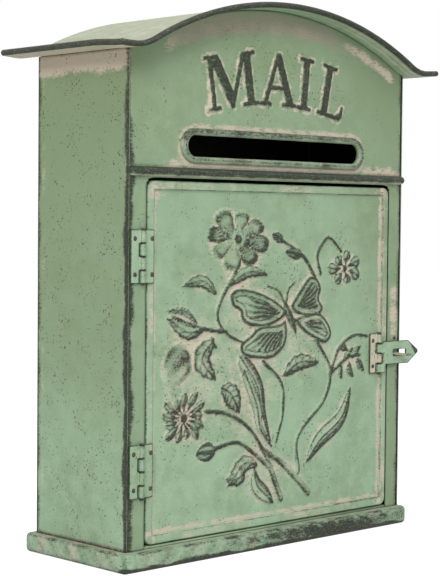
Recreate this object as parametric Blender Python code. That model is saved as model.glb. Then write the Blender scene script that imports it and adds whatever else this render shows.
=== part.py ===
"""Sheet metal letter box with an ogee roof, a hinged door and a hasp, in metres, +Z up.

The front faces -Y. The origin is below the middle of the whole box, on the surface it stands on.
"""

from math import asin, atan2, cos, hypot, log, pi, radians, sin, sqrt, tan

import bmesh
import bpy
from mathutils import Vector

# Body
BODY_WIDTH = 0.256
BODY_DEPTH = 0.0903
TOTAL_HEIGHT = 0.3555
SHEET = 0.0012
SHELL_BEND = 0.003
JOIN_GAP = 0.0003

# Base pan
BASE_HEIGHT = 0.0123
BASE_OVERHANG = 0.0049
BASE_CORNER = 0.004
BASE_EDGE = 0.003
BASE_LIP = 0.009

# Roof
ROOF_FRONT_OVERHANG = 0.0171
ROOF_REAR_OVERHANG = 0.0134
ROOF_SIDE_OVERHANG = 0.0195
RIM_RADIUS = 0.0018
EAVE_ROLL_RADIUS = 0.0019
CROWN_SLOPE = radians(28.5)
EAVE_RADIUS = 0.030
EAVE_LOW_OUTSIDE_WALL = 0.0056
EAVE_RISE = radians(4)

# Front panel
PANEL_BEND = 0.0016
SIDE_FLANGE = 0.010
SILL_FLANGE = 0.012
SLOT_WIDTH = 0.160
SLOT_HEIGHT = 0.0135
SLOT_ABOVE_RAIL = 0.0168
SLOT_LIP_WIDTH = 0.0044
SLOT_LIP_END_EXTRA = 0.0014
SLOT_LIP_HEIGHT = 0.0026
LETTER_HEIGHT = 0.035
LETTER_RELIEF = 0.0013
LETTER_BASELINE_ABOVE_SLOT = 0.0285

# Drip rail
RAIL_HEIGHT = 0.0059
RAIL_DEPTH = 0.0038
RAIL_ABOVE_OPENING = 0.0006

# Door
DOOR_HEIGHT = 0.2242
DOOR_LEFT_MARGIN = 0.0162
DOOR_RIGHT_MARGIN = 0.0143
DOOR_SIDE_GAP = 0.0014
DOOR_TOP_GAP = 0.002
DOOR_SILL_GAP = 0.001
DOOR_CORNER = 0.005
DOOR_EDGE_ROUND = 0.001
DOOR_BORDER = 0.005
DOOR_STEP = 0.0012
FIELD_DEPTH = 0.0015
DOOR_RETURN = 0.008
DOOR_EDGE_SOFTENING = 0.3
CORNER_LEAST = 0.25
RELIEF_UNIT = 0.0016
RELIEF_TOP = 0.55
RELIEF_SHOULDER = 0.45
RELIEF_ROOT = 0.3
RELIEF_ROOT_SPREAD = 0.4
LEAF_SWELL = 0.8
TIP_CUT = 0.35

# Hinges
LEAF_THICKNESS = 0.001
KNUCKLE_RADIUS = 0.0019
KNUCKLE_GAP = 0.0003
BORE_RADIUS = 0.0012
PIN_RADIUS = 0.0009
PIN_HEAD_RADIUS = 0.0016
PIN_HEAD_HEIGHT = 0.0007
KNUCKLES = 4
HINGE_HEIGHT = 0.033
HINGE_SPACING = 0.1313
HINGE_TO_DOOR_EDGE = 0.0055
FRAME_LEAF_WIDTH = 0.0068
DOOR_LEAF_WIDTH = 0.0076
LEAF_TO_KNUCKLE = 0.0004

# Rivets
RIVET_RADIUS = 0.0007
RIVET_CLEARANCE = 0.0003
RIVET_HEAD_RADIUS = 0.00125
RIVET_HEAD_HEIGHT = 0.0006
RIVET_TAIL_RADIUS = 0.0011
RIVET_TAIL_HEIGHT = 0.0005
RIVET_SPACING = 0.022
DOME_TOP = 0.55
DOME_SHOULDER = 0.9
DOME_SHOULDER_LEVEL = 0.6
TAIL_TAPER = 0.8
PIN_HEAD_TAPER = 0.7

# Hasp and staple
HASP_HEIGHT = 0.028
HASP_AXIS_FROM_DOOR_EDGE = 0.0090
HASP_BELOW_DOOR_MIDDLE = 0.0042
HASP_LEAF_WIDTH = 0.0064
HASP_PLATE_HEIGHT = 0.0164
HASP_PLATE_LENGTH = 0.0418
HASP_PLATE_THICKNESS = 0.0012
HASP_POINT_LENGTH = 0.012
HASP_POINT_RADIUS = 0.0016
HASP_SLOT_HEIGHT = 0.0044
HASP_SLOT_LEFT_CLEARANCE = 0.0006
HASP_SLOT_LENGTH = 0.0142
HASP_NECK = 0.0022
HASP_RIVET_SPACING = 0.018
STAPLE_WIDTH = 0.0064
STAPLE_LENGTH = 0.0165
STAPLE_THICKNESS = 0.0012
STAPLE_FROM_WALL = 0.0066
STAPLE_FOOT = 0.0145
STAPLE_HOLE_RADIUS = 0.0017
STAPLE_RIVET_RISE = 0.0112
STAPLE_DROP_IN_SLOT = 0.0009

# Places worked out from the sizes above
HALF_WIDTH = BODY_WIDTH / 2
TOTAL_DEPTH = ROOF_FRONT_OVERHANG + BODY_DEPTH + ROOF_REAR_OVERHANG
FRONT_Y = ROOF_FRONT_OVERHANG - TOTAL_DEPTH / 2
BACK_Y = FRONT_Y + BODY_DEPTH
FLOOR_Z = BASE_HEIGHT + JOIN_GAP
PANEL_HALF = HALF_WIDTH - SHEET - JOIN_GAP
SILL_TOP = FLOOR_Z + SHEET

EAVE_LOW_X = HALF_WIDTH + EAVE_LOW_OUTSIDE_WALL
CROWN_RADIUS = EAVE_LOW_X / sin(CROWN_SLOPE) - EAVE_RADIUS
RIM_CROWN_Z = TOTAL_HEIGHT - RIM_RADIUS
CROWN_CENTRE_Z = RIM_CROWN_Z - CROWN_RADIUS
EAVE_CENTRE_Z = CROWN_CENTRE_Z + (CROWN_RADIUS + EAVE_RADIUS) * cos(CROWN_SLOPE)
EAVE_END_X = HALF_WIDTH + ROOF_SIDE_OVERHANG - EAVE_ROLL_RADIUS

DOOR_LEFT = DOOR_LEFT_MARGIN - HALF_WIDTH
DOOR_RIGHT = HALF_WIDTH - DOOR_RIGHT_MARGIN
DOOR_BOTTOM = SILL_TOP + DOOR_SILL_GAP
DOOR_TOP = DOOR_BOTTOM + DOOR_HEIGHT
DOOR_MIDDLE = Vector(((DOOR_LEFT + DOOR_RIGHT) / 2, FRONT_Y, (DOOR_BOTTOM + DOOR_TOP) / 2))
DOOR_HALF_WIDTH = (DOOR_RIGHT - DOOR_LEFT) / 2
OPENING_TOP = DOOR_TOP + DOOR_TOP_GAP
OPENING_CORNER = DOOR_CORNER + DOOR_SIDE_GAP
FIELD_Y = FRONT_Y + FIELD_DEPTH

RAIL_Z = OPENING_TOP + RAIL_ABOVE_OPENING + RAIL_HEIGHT / 2
SLOT_Z = RAIL_Z + SLOT_ABOVE_RAIL
BASELINE_Z = SLOT_Z + LETTER_BASELINE_ABOVE_SLOT
BASELINE_RADIUS = CROWN_RADIUS

LEAF_BACK = FRONT_Y - JOIN_GAP
LEAF_FRONT = LEAF_BACK - LEAF_THICKNESS
HINGE_AXIS_X = DOOR_LEFT - HINGE_TO_DOOR_EDGE
HINGE_AXIS_Y = LEAF_BACK - KNUCKLE_RADIUS
FRAME_RIVET_X = HINGE_AXIS_X - KNUCKLE_RADIUS - LEAF_TO_KNUCKLE - FRAME_LEAF_WIDTH / 2
DOOR_RIVET_X = DOOR_LEFT + SHEET + RIVET_TAIL_RADIUS + RIVET_CLEARANCE

HASP_AXIS_X = DOOR_RIGHT - HASP_AXIS_FROM_DOOR_EDGE
HASP_LEAF_BACK = FIELD_Y - JOIN_GAP
HASP_AXIS_Y = HASP_LEAF_BACK - KNUCKLE_RADIUS
HASP_Z = DOOR_MIDDLE.z - HASP_BELOW_DOOR_MIDDLE
HASP_RIVET_X = HASP_AXIS_X - KNUCKLE_RADIUS - LEAF_TO_KNUCKLE - HASP_LEAF_WIDTH / 2
HASP_PLATE_BACK = HASP_AXIS_Y - KNUCKLE_RADIUS + HASP_PLATE_THICKNESS
STAPLE_X = HALF_WIDTH - STAPLE_FROM_WALL
STAPLE_Z = HASP_Z - STAPLE_DROP_IN_SLOT


# Materials

def make_material(name, colour, roughness, metallic):
    """A plain Principled material."""
    material = bpy.data.materials.new(name)
    material.use_nodes = True
    shader = material.node_tree.nodes["Principled BSDF"]
    shader.inputs["Base Color"].default_value = (*colour, 1.0)
    shader.inputs["Roughness"].default_value = roughness
    shader.inputs["Metallic"].default_value = metallic
    return material


# Meshes

def add_object(name, bm):
    """Turns a closed bmesh into an object with its faces pointing out."""
    bmesh.ops.recalc_face_normals(bm, faces=bm.faces)
    mesh = bpy.data.meshes.new(name)
    bm.to_mesh(mesh)
    bm.free()
    obj = bpy.data.objects.new(name, mesh)
    bpy.context.scene.collection.objects.link(obj)
    return obj


def prism(name, outline, low, high, axis="Y"):
    """Extrudes a flat outline. axis Y takes (x, z) points, Z takes (x, y), X takes (y, z)."""
    place = {
        "X": lambda u, v, w: (w, u, v),
        "Y": lambda u, v, w: (u, w, v),
        "Z": lambda u, v, w: (u, v, w),
    }[axis]
    return stack(name, [(outline, low), (outline, high)], place)


def stack(name, rings, place, looped=False):
    """Joins rings of equal length, (points, level) each, into one closed body.

    The first and last rings are capped, or joined to each other when looped.
    """
    bm = bmesh.new()
    levels = [[bm.verts.new(place(u, v, w)) for u, v in points] for points, w in rings]
    count = len(levels[0])
    pairs = list(zip(levels, levels[1:]))
    if looped:
        pairs.append((levels[-1], levels[0]))
    else:
        bm.faces.new(levels[0])
        bm.faces.new(levels[-1])
    for lower, upper in pairs:
        for i in range(count):
            j = (i + 1) % count
            bm.faces.new((lower[i], lower[j], upper[j], upper[i]))
    return add_object(name, bm)


def box(name, low, high):
    """A box between two corners."""
    outline = [(low[0], low[2]), (high[0], low[2]), (high[0], high[2]), (low[0], high[2])]
    return prism(name, outline, low[1], high[1])


def disc(radius, steps, centre=(0.0, 0.0)):
    """Points on a circle."""
    angles = [2 * pi * i / steps for i in range(steps)]
    return [(centre[0] + radius * cos(a), centre[1] + radius * sin(a)) for a in angles]


def turned(name, profile, centre, axis, steps=12):
    """A body of revolution: profile is (radius, place along the axis) from end to end."""
    place = {
        "Y": lambda u, v, w: (centre[0] + u, w, centre[1] + v),
        "Z": lambda u, v, w: (centre[0] + u, centre[1] + v, w),
    }[axis]
    return stack(name, [(disc(radius, steps), level) for radius, level in profile], place)


def rounded_rectangle(half_width, half_height, radius, steps=4):
    """A rectangle with round corners, about its centre."""
    points = []
    for corner in range(4):
        sign_x = (1, -1, -1, 1)[corner]
        sign_y = (1, 1, -1, -1)[corner]
        cx = sign_x * (half_width - radius)
        cy = sign_y * (half_height - radius)
        for i in range(steps + 1):
            a = pi / 2 * (corner + i / steps)
            points.append((cx + radius * cos(a), cy + radius * sin(a)))
    return points


def round_corners(path, radius, steps=4):
    """Replaces the inner corners of an open path by arcs."""
    points = [path[0]]
    for before, corner, after in zip(path, path[1:], path[2:]):
        here = Vector(corner)
        arrive = (here - Vector(before)).normalized()
        leave = (Vector(after) - here).normalized()
        turn = arrive.angle(leave)
        reach = radius * tan(turn / 2)
        centre = here - arrive * reach + (leave - arrive * arrive.dot(leave)).normalized() * radius
        start = here - arrive * reach - centre
        side = 1 if arrive.cross(leave) > 0 else -1
        for i in range(steps + 1):
            a = side * turn * i / steps
            points.append((centre.x + start.x * cos(a) - start.y * sin(a),
                           centre.y + start.x * sin(a) + start.y * cos(a)))
    return points + [path[-1]]


def strip(path, thickness):
    """The outline of a folded sheet: the path, and the same path moved to its right."""
    normals = []
    for start, end in zip(path, path[1:]):
        length = hypot(end[0] - start[0], end[1] - start[1])
        normals.append(Vector(((end[1] - start[1]) / length, (start[0] - end[0]) / length)))
    inner = []
    for i, point in enumerate(path):
        before = normals[max(i - 1, 0)]
        after = normals[min(i, len(normals) - 1)]
        mitre = (before + after) / (1 + before.dot(after))
        inner.append((point[0] + mitre.x * thickness, point[1] + mitre.y * thickness))
    return list(path) + inner[::-1]


def combine(target, tools, operation, overlapping=False):
    """Applies Booleans to an object and removes the objects they used; overlapping ones cross themselves."""
    for tool in tools:
        modifier = target.modifiers.new("combine", "BOOLEAN")
        modifier.operation = operation
        modifier.solver = "EXACT"
        modifier.use_self = overlapping
        modifier.object = tool
    bpy.context.view_layer.update()
    graph = bpy.context.evaluated_depsgraph_get()
    mesh = bpy.data.meshes.new_from_object(target.evaluated_get(graph))
    target.modifiers.clear()
    target.data = mesh
    for tool in tools:
        bpy.data.objects.remove(tool)
    return target


def gather(name, parts):
    """Puts several bodies into one object, still overlapping."""
    bm = bmesh.new()
    for part in parts:
        bm.from_mesh(part.data)
        bpy.data.objects.remove(part)
    return add_object(name, bm)


def finish(obj, name, material, parent=None):
    """Names a piece, gives it its material and, for a moving piece, its axis as parent."""
    obj.name = name
    obj.data.name = name
    obj.data.materials.clear()
    obj.data.materials.append(material)
    obj.data.shade_smooth()
    obj.data.set_sharp_from_angle(angle=radians(35))
    if parent:
        obj.parent = parent
        obj.matrix_parent_inverse = parent.matrix_world.inverted()
    return obj


def add_axis(name, x, y, z):
    """An empty on a hinge axis, for the pieces that turn about it."""
    empty = bpy.data.objects.new(name, None)
    empty.location = (x, y, z)
    bpy.context.scene.collection.objects.link(empty)
    bpy.context.view_layer.update()
    return empty


# Roof line

def roof_height(x, offset=0.0):
    """Height at x of the rim's centre line, moved along its normal by offset."""
    x = abs(x)
    crown = CROWN_RADIUS + offset
    eave = EAVE_RADIUS - offset
    if x <= crown * sin(CROWN_SLOPE):
        return CROWN_CENTRE_Z + sqrt(crown ** 2 - x ** 2)
    turn_end = EAVE_LOW_X + eave * sin(EAVE_RISE)
    if x <= turn_end:
        return EAVE_CENTRE_Z - sqrt(eave ** 2 - (x - EAVE_LOW_X) ** 2)
    return EAVE_CENTRE_Z - eave * cos(EAVE_RISE) + (x - turn_end) * tan(EAVE_RISE)


def roof_stations(crown_steps=11, eave_steps=5):
    """(x, z, slope) along the rim's centre line from the left eave to the right eave."""
    half = []
    for i in range(crown_steps):
        a = CROWN_SLOPE * i / crown_steps
        half.append((CROWN_RADIUS * sin(a), CROWN_CENTRE_Z + CROWN_RADIUS * cos(a), -a))
    for i in range(eave_steps + 1):
        a = CROWN_SLOPE - (CROWN_SLOPE + EAVE_RISE) * i / eave_steps
        half.append((EAVE_LOW_X - EAVE_RADIUS * sin(a), EAVE_CENTRE_Z - EAVE_RADIUS * cos(a), -a))
    half.append((EAVE_END_X, roof_height(EAVE_END_X), EAVE_RISE))
    return [(-x, z, -slope) for x, z, slope in reversed(half[1:])] + half


def under_roof(name):
    """A solid that ends where the walls end, one gap below the roof sheet."""
    beyond = HALF_WIDTH + SHEET
    count = 40
    edge = [beyond * (2 * i / count - 1) for i in range(count + 1)]
    outline = [(x, roof_height(x, -RIM_RADIUS - JOIN_GAP)) for x in edge]
    outline += [(beyond, -BASE_HEIGHT), (-beyond, -BASE_HEIGHT)]
    return prism(name, outline, FRONT_Y - SHEET, BACK_Y + SHEET)


def make_roof(material):
    """One formed sheet: a roll swept along its front edge, one on each eave, and a plain rear edge."""
    front = FRONT_Y - ROOF_FRONT_OVERHANG + EAVE_ROLL_RADIUS
    rear = BACK_Y + ROOF_REAR_OVERHANG - EAVE_ROLL_RADIUS
    rear_edge = rear + EAVE_ROLL_RADIUS * cos(pi / 10)
    meet = asin((RIM_RADIUS - SHEET) / RIM_RADIUS)
    steps = 8
    front_roll = []
    for i in range(steps + 1):
        a = -pi / 2 - (3 * pi / 2 + meet) * i / steps
        front_roll.append((front + RIM_RADIUS * cos(a), RIM_RADIUS * sin(a)))
    section = front_roll + [(rear_edge, SHEET - RIM_RADIUS), (rear_edge, -RIM_RADIUS)]
    rings = []
    bm = bmesh.new()
    for x, z, slope in roof_stations():
        ring = [bm.verts.new((x - up * sin(slope), y, z + up * cos(slope))) for y, up in section]
        rings.append(ring)
    count = len(section)
    for left, right in zip(rings, rings[1:]):
        for i in range(count):
            j = (i + 1) % count
            bm.faces.new((left[i], left[j], right[j], right[i]))
    bm.faces.new(rings[0])
    bm.faces.new(rings[-1])
    roof = add_object("roof", bm)
    rolls = []
    for side in (-1, 1):
        profile = []
        for i in range(1, 5):
            a = pi / 2 * i / 5
            profile.append((EAVE_ROLL_RADIUS * sin(a), front - EAVE_ROLL_RADIUS * cos(a)))
        profile += [(EAVE_ROLL_RADIUS, front), (EAVE_ROLL_RADIUS, rear)]
        for i in range(4, 0, -1):
            a = pi / 2 * i / 5
            profile.append((EAVE_ROLL_RADIUS * sin(a), rear + EAVE_ROLL_RADIUS * cos(a)))
        centre = (side * EAVE_END_X, roof_height(EAVE_END_X))
        rolls.append(turned("eave roll", profile, centre, "Y", 16))
    combine(roof, rolls, "UNION")
    return finish(roof, "roof", material)


# Base and body

def make_base_pan(material):
    """Pressed pan with round edges; its rim turns in under the box."""
    half_x = HALF_WIDTH + BASE_OVERHANG
    half_y = BODY_DEPTH / 2 + BASE_OVERHANG
    middle_y = (FRONT_Y + BACK_Y) / 2
    inner_edge = BASE_EDGE - SHEET

    def ring(inset, level):
        corner = max(BASE_CORNER - inset, BASE_CORNER * CORNER_LEAST)
        return rounded_rectangle(half_x - inset, half_y - inset, corner), level

    rings = []
    for i in range(4):
        a = pi / 2 * i / 3
        rings.append(ring(BASE_EDGE * (1 - sin(a)), BASE_HEIGHT - BASE_EDGE * (1 - cos(a))))
    for i in range(4):
        a = pi / 2 * i / 3
        rings.append(ring(BASE_EDGE * (1 - cos(a)), BASE_EDGE * (1 - sin(a))))
    rings.append(ring(BASE_LIP, 0.0))
    rings.append(ring(BASE_LIP, SHEET))
    for i in range(3, -1, -1):
        a = pi / 2 * i / 3
        rings.append(ring(BASE_EDGE - inner_edge * cos(a), BASE_EDGE - inner_edge * sin(a)))
    for i in range(3, -1, -1):
        a = pi / 2 * i / 3
        rings.append(ring(BASE_EDGE - inner_edge * sin(a),
                          BASE_HEIGHT - BASE_EDGE + inner_edge * cos(a)))
    pan = stack("base_pan", rings, lambda u, v, w: (u, middle_y + v, w))
    return finish(pan, "base_pan", material)


def make_body_shell(material):
    """Left side, back and right side folded from one sheet, its top cut to the roof's curve."""
    path = [(-HALF_WIDTH, FRONT_Y), (-HALF_WIDTH, BACK_Y), (HALF_WIDTH, BACK_Y), (HALF_WIDTH, FRONT_Y)]
    outline = strip(round_corners(path, SHELL_BEND), SHEET)
    shell = prism("body_shell", outline, FLOOR_Z, TOTAL_HEIGHT + SHEET, "Z")
    combine(shell, [under_roof("roof line")], "INTERSECT")
    return finish(shell, "body_shell", material)


# Front panel

LETTERS = {
    "M": [(0, 0), (0.36, 0), (0.36, 0.07), (0.24, 0.09), (0.24, 0.78), (0.60, 0), (0.68, 0),
          (1.02, 0.80), (1.02, 0.09), (0.90, 0.07), (0.90, 0), (1.34, 0), (1.34, 0.07),
          (1.22, 0.09), (1.22, 0.91), (1.34, 0.93), (1.34, 1), (0.98, 1), (0.70, 0.30),
          (0.40, 1), (0.02, 1), (0.02, 0.93), (0.12, 0.91), (0.12, 0.09), (0, 0.07)],
    "A": [(0, 0), (0.32, 0), (0.32, 0.07), (0.22, 0.09), (0.30, 0.30), (0.62, 0.30),
          (0.69, 0.09), (0.58, 0.07), (0.58, 0), (0.98, 0), (0.98, 0.07), (0.90, 0.09),
          (0.56, 1), (0.44, 1), (0.10, 0.09), (0, 0.07)],
    "I": [(0, 0), (0.40, 0), (0.40, 0.07), (0.29, 0.09), (0.29, 0.91), (0.40, 0.93), (0.40, 1),
          (0, 1), (0, 0.93), (0.11, 0.91), (0.11, 0.09), (0, 0.07)],
    "L": [(0, 0), (0.66, 0), (0.70, 0.30), (0.63, 0.30), (0.56, 0.10), (0.29, 0.09),
          (0.29, 0.91), (0.40, 0.93), (0.40, 1), (0, 1), (0, 0.93), (0.11, 0.91),
          (0.11, 0.09), (0, 0.07)],
}
A_COUNTER = [(0.335, 0.39), (0.585, 0.39), (0.455, 0.76)]
LETTER_PLACES = {"M": -1.14, "A": 0.01, "I": 0.70, "L": 1.41}
LETTER_WIDTHS = {"M": 1.34, "A": 0.98, "I": 0.40, "L": 0.70}


def on_arch(letter, points):
    """Letter points, one letter height tall, turned to their place on the arched baseline."""
    middle = LETTER_PLACES[letter] * LETTER_HEIGHT / BASELINE_RADIUS
    placed = []
    for u, v in points:
        across = (u - LETTER_WIDTHS[letter] / 2) * LETTER_HEIGHT
        up = BASELINE_RADIUS + v * LETTER_HEIGHT
        placed.append((across * cos(middle) + up * sin(middle),
                       BASELINE_Z - BASELINE_RADIUS - across * sin(middle) + up * cos(middle)))
    return placed


def make_letters():
    """The embossed word, each letter starting inside the sheet."""
    inside = FRONT_Y + SHEET / 2
    letters = []
    for letter, points in LETTERS.items():
        solid = prism(letter, on_arch(letter, points), inside, FRONT_Y - LETTER_RELIEF)
        if letter == "A":
            counter = prism("counter", on_arch(letter, A_COUNTER), FRONT_Y + SHEET, LEAF_FRONT - SHEET)
            combine(solid, [counter], "DIFFERENCE")
        letters.append(solid)
    return letters


def stadium(half_straight, radius, steps=8):
    """A long hole's outline."""
    points = []
    for side in (1, -1):
        for i in range(steps + 1):
            a = pi * i / steps - side * pi / 2
            points.append((side * half_straight + radius * cos(a), radius * sin(a)))
    return points


def make_slot_lip():
    """The raised lip round the letter slot: its inner side is the edge of the hole."""
    radius = SLOT_HEIGHT / 2
    straight = SLOT_WIDTH / 2 - radius
    section = [(0.0, -0.7), (0.0, 0.45), (0.12, 0.8), (0.35, 1.0), (0.65, 0.95), (0.88, 0.6),
               (1.0, 0.1), (1.0, -0.35), (0.5, -0.5)]
    rings = []
    for across, up in section:
        level = -up * SLOT_LIP_HEIGHT if up > 0 else -up * SHEET
        reach = across * SLOT_LIP_WIDTH
        points = stadium(straight + across * SLOT_LIP_END_EXTRA, radius + reach)
        rings.append((points, FRONT_Y + level))
    return stack("slot lip", rings, lambda u, v, w: (u, w, SLOT_Z + v), looped=True)


def make_front_panel(material):
    """Pressed front with its flanges, letters, slot and door opening."""
    path = [(PANEL_HALF, FRONT_Y + SIDE_FLANGE), (PANEL_HALF, FRONT_Y),
            (-PANEL_HALF, FRONT_Y), (-PANEL_HALF, FRONT_Y + SIDE_FLANGE)]
    outline = strip(round_corners(path, PANEL_BEND), SHEET)
    panel = prism("front_panel", outline, FLOOR_Z, TOTAL_HEIGHT + SHEET, "Z")
    combine(panel, [under_roof("roof line")], "INTERSECT")
    sill_half = PANEL_HALF - SHEET / 2
    sill = box("sill", (-sill_half, FRONT_Y + SHEET / 2, FLOOR_Z),
               (sill_half, FRONT_Y + SILL_FLANGE, SILL_TOP))
    combine(panel, [sill], "UNION")

    half = DOOR_HALF_WIDTH + DOOR_SIDE_GAP
    low = SILL_TOP - DOOR_MIDDLE.z
    high = OPENING_TOP - DOOR_MIDDLE.z
    doorway = [(-half, low), (half, low)]
    doorway += round_corners([(half, low), (half, high), (-half, high), (-half, low)], OPENING_CORNER)[1:-1]
    doorway = [(DOOR_MIDDLE.x + u, DOOR_MIDDLE.z + v) for u, v in doorway]
    cutters = [prism("doorway", doorway, FRONT_Y - SHEET, FRONT_Y + 2 * SHEET)]

    hole_radius = SLOT_HEIGHT / 2 + SLOT_LIP_WIDTH / 3
    hole = [(u, SLOT_Z + v) for u, v in stadium(SLOT_WIDTH / 2 - SLOT_HEIGHT / 2, hole_radius)]
    cutters.append(prism("slot hole", hole, FRONT_Y - SHEET, FRONT_Y + 2 * SHEET))
    slit_x = STAPLE_WIDTH / 2 + JOIN_GAP
    slit_z = STAPLE_THICKNESS / 2 + JOIN_GAP
    cutters.append(box("staple slit", (STAPLE_X - slit_x, FRONT_Y - SHEET, STAPLE_Z - slit_z),
                       (STAPLE_X + slit_x, FRONT_Y + 2 * SHEET, STAPLE_Z + slit_z)))
    for z in hinge_heights():
        for step in (-1, 1):
            cutters.append(rivet_hole(FRAME_RIVET_X, z + step * RIVET_SPACING / 2, FRONT_Y))
    cutters.append(rivet_hole(STAPLE_X, STAPLE_Z + STAPLE_RIVET_RISE, FRONT_Y))
    combine(panel, cutters, "DIFFERENCE")
    combine(panel, [make_slot_lip()] + make_letters(), "UNION")
    return finish(panel, "front_panel", material)


def make_drip_rail(material):
    """Half-round bar, flat behind, its ends rounded off at the corners of the body."""
    end = RAIL_HEIGHT / 2
    back = FRONT_Y - JOIN_GAP
    stations = [(-HALF_WIDTH + end * (1 - cos(pi / 2 * i / 4)), sin(pi / 2 * i / 4)) for i in range(1, 5)]
    stations += [(-x, size) for x, size in reversed(stations)]
    rings = []
    for x, size in stations:
        section = [(back, size * end), (back, -size * end)]
        for i in range(1, 8):
            a = -pi / 2 + pi * i / 8
            section.append((back - size * RAIL_DEPTH * cos(a), size * end * sin(a)))
        rings.append((section, x))
    rail = stack("drip_rail", rings, lambda u, v, w: (w, u, RAIL_Z + v))
    return finish(rail, "drip_rail", material)


# Door

def make_door_pan():
    """The door without its relief: raised border, recessed field and returned edges."""
    half_width = DOOR_HALF_WIDTH
    half_height = DOOR_HEIGHT / 2
    step_slope = atan2(FIELD_DEPTH, DOOR_STEP)
    pull = SHEET * tan(step_slope / 2)
    flange = FRONT_Y + DOOR_RETURN

    def ring(inset, level):
        corner = max(DOOR_CORNER - inset, DOOR_CORNER * CORNER_LEAST)
        return rounded_rectangle(half_width - inset, half_height - inset, corner, 3), level

    rings = [
        ring(DOOR_BORDER + DOOR_STEP, FIELD_Y),
        ring(DOOR_BORDER, FRONT_Y),
        ring(DOOR_EDGE_ROUND, FRONT_Y),
        ring(DOOR_EDGE_ROUND * DOOR_EDGE_SOFTENING, FRONT_Y + DOOR_EDGE_ROUND * DOOR_EDGE_SOFTENING),
        ring(0.0, FRONT_Y + DOOR_EDGE_ROUND),
        ring(0.0, flange),
        ring(SHEET, flange),
        ring(SHEET, FRONT_Y + SHEET),
        ring(DOOR_BORDER - pull, FRONT_Y + SHEET),
        ring(DOOR_BORDER + DOOR_STEP - pull, FIELD_Y + SHEET),
    ]
    middle = DOOR_MIDDLE
    return stack("door_panel", rings, lambda u, v, w: (middle.x + u, w, middle.z + v))


def on_field(point):
    """A relief point: 100 units are half the recessed field, from its middle."""
    half_x = DOOR_HALF_WIDTH - DOOR_BORDER - DOOR_STEP
    half_z = DOOR_HEIGHT / 2 - DOOR_BORDER - DOOR_STEP
    return DOOR_MIDDLE.x + point[0] * half_x / 100, DOOR_MIDDLE.z + point[1] * half_z / 100


def curve_through(points, steps):
    """Points on a smooth curve that passes through the given ones."""
    ends = [points[0]] + list(points) + [points[-1]]
    curve = []
    for i in range(steps + 1):
        t = i / steps * (len(points) - 1)
        k = min(int(t), len(points) - 2)
        t -= k
        p0, p1, p2, p3 = (Vector(ends[k + n]) for n in range(4))
        curve.append(0.5 * (2 * p1 + (p2 - p0) * t + (2 * p0 - 5 * p1 + 4 * p2 - p3) * t ** 2
                            + (3 * p1 - p0 - 3 * p2 + p3) * t ** 3))
    return curve


def ribbon(points, width, steps, fullest, stem, shrink):
    """The outline of a leaf or petal along a curve, widest at fullest, or of an even stem."""
    curve = curve_through(points, steps)
    power = log(0.5) / log(fullest)
    middle = curve[steps // 2]
    left, right = [], []
    for i, here in enumerate(curve):
        ahead = curve[min(i + 1, steps)] - curve[max(i - 1, 0)]
        side = Vector((-ahead.y, ahead.x)).normalized()
        t = (i + TIP_CUT) / (steps + 2 * TIP_CUT)
        swell = 1.0 if stem else sin(pi * t ** power) ** LEAF_SWELL
        here = middle + (here - middle) * (1 + shrink) / 2
        left.append(here + side * width / 2 * swell * shrink)
        right.append(here - side * width / 2 * swell * shrink)
    return [on_field(p) for p in left + right[::-1]]


def pillow(name, root, points, width, height, steps=5, fullest=0.5, stem=False):
    """A raised leaf, petal, wing or stem with sloping sides, from a root inside the door's sheet."""
    outline = ribbon(points, width, steps, fullest, stem, 1.0)
    top = ribbon(points, width, steps, fullest, stem, RELIEF_TOP)
    rise = height * RELIEF_UNIT
    rings = [(outline, root), (outline, FIELD_Y - RELIEF_SHOULDER * rise), (top, FIELD_Y - rise)]
    return stack(name, rings, lambda u, v, w: (u, w, v))


def button(name, root, centre, radius, height):
    """A flower's round middle."""
    rise = height * RELIEF_UNIT
    rings = []
    for size, level in ((1.0, root), (1.0, FIELD_Y - RELIEF_TOP * rise), (RELIEF_TOP, FIELD_Y - rise)):
        ring = [on_field((centre[0] + u, centre[1] + v)) for u, v in disc(radius * size, 8)]
        rings.append((ring, level))
    return stack(name, rings, lambda u, v, w: (u, w, v))


def petals(centre, reach_u, reach_v, count, width, turn):
    """The curve and width of each petal of a flower; the reach may differ across and up."""
    forms = []
    for i in range(count):
        a = radians(turn) + 2 * pi * i / count
        root = (centre[0] + reach_u * PETAL_ROOT * cos(a), centre[1] + reach_v * PETAL_ROOT * sin(a))
        tip = (centre[0] + reach_u * cos(a), centre[1] + reach_v * sin(a))
        forms.append(([root, tip], width))
    return forms


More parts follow.
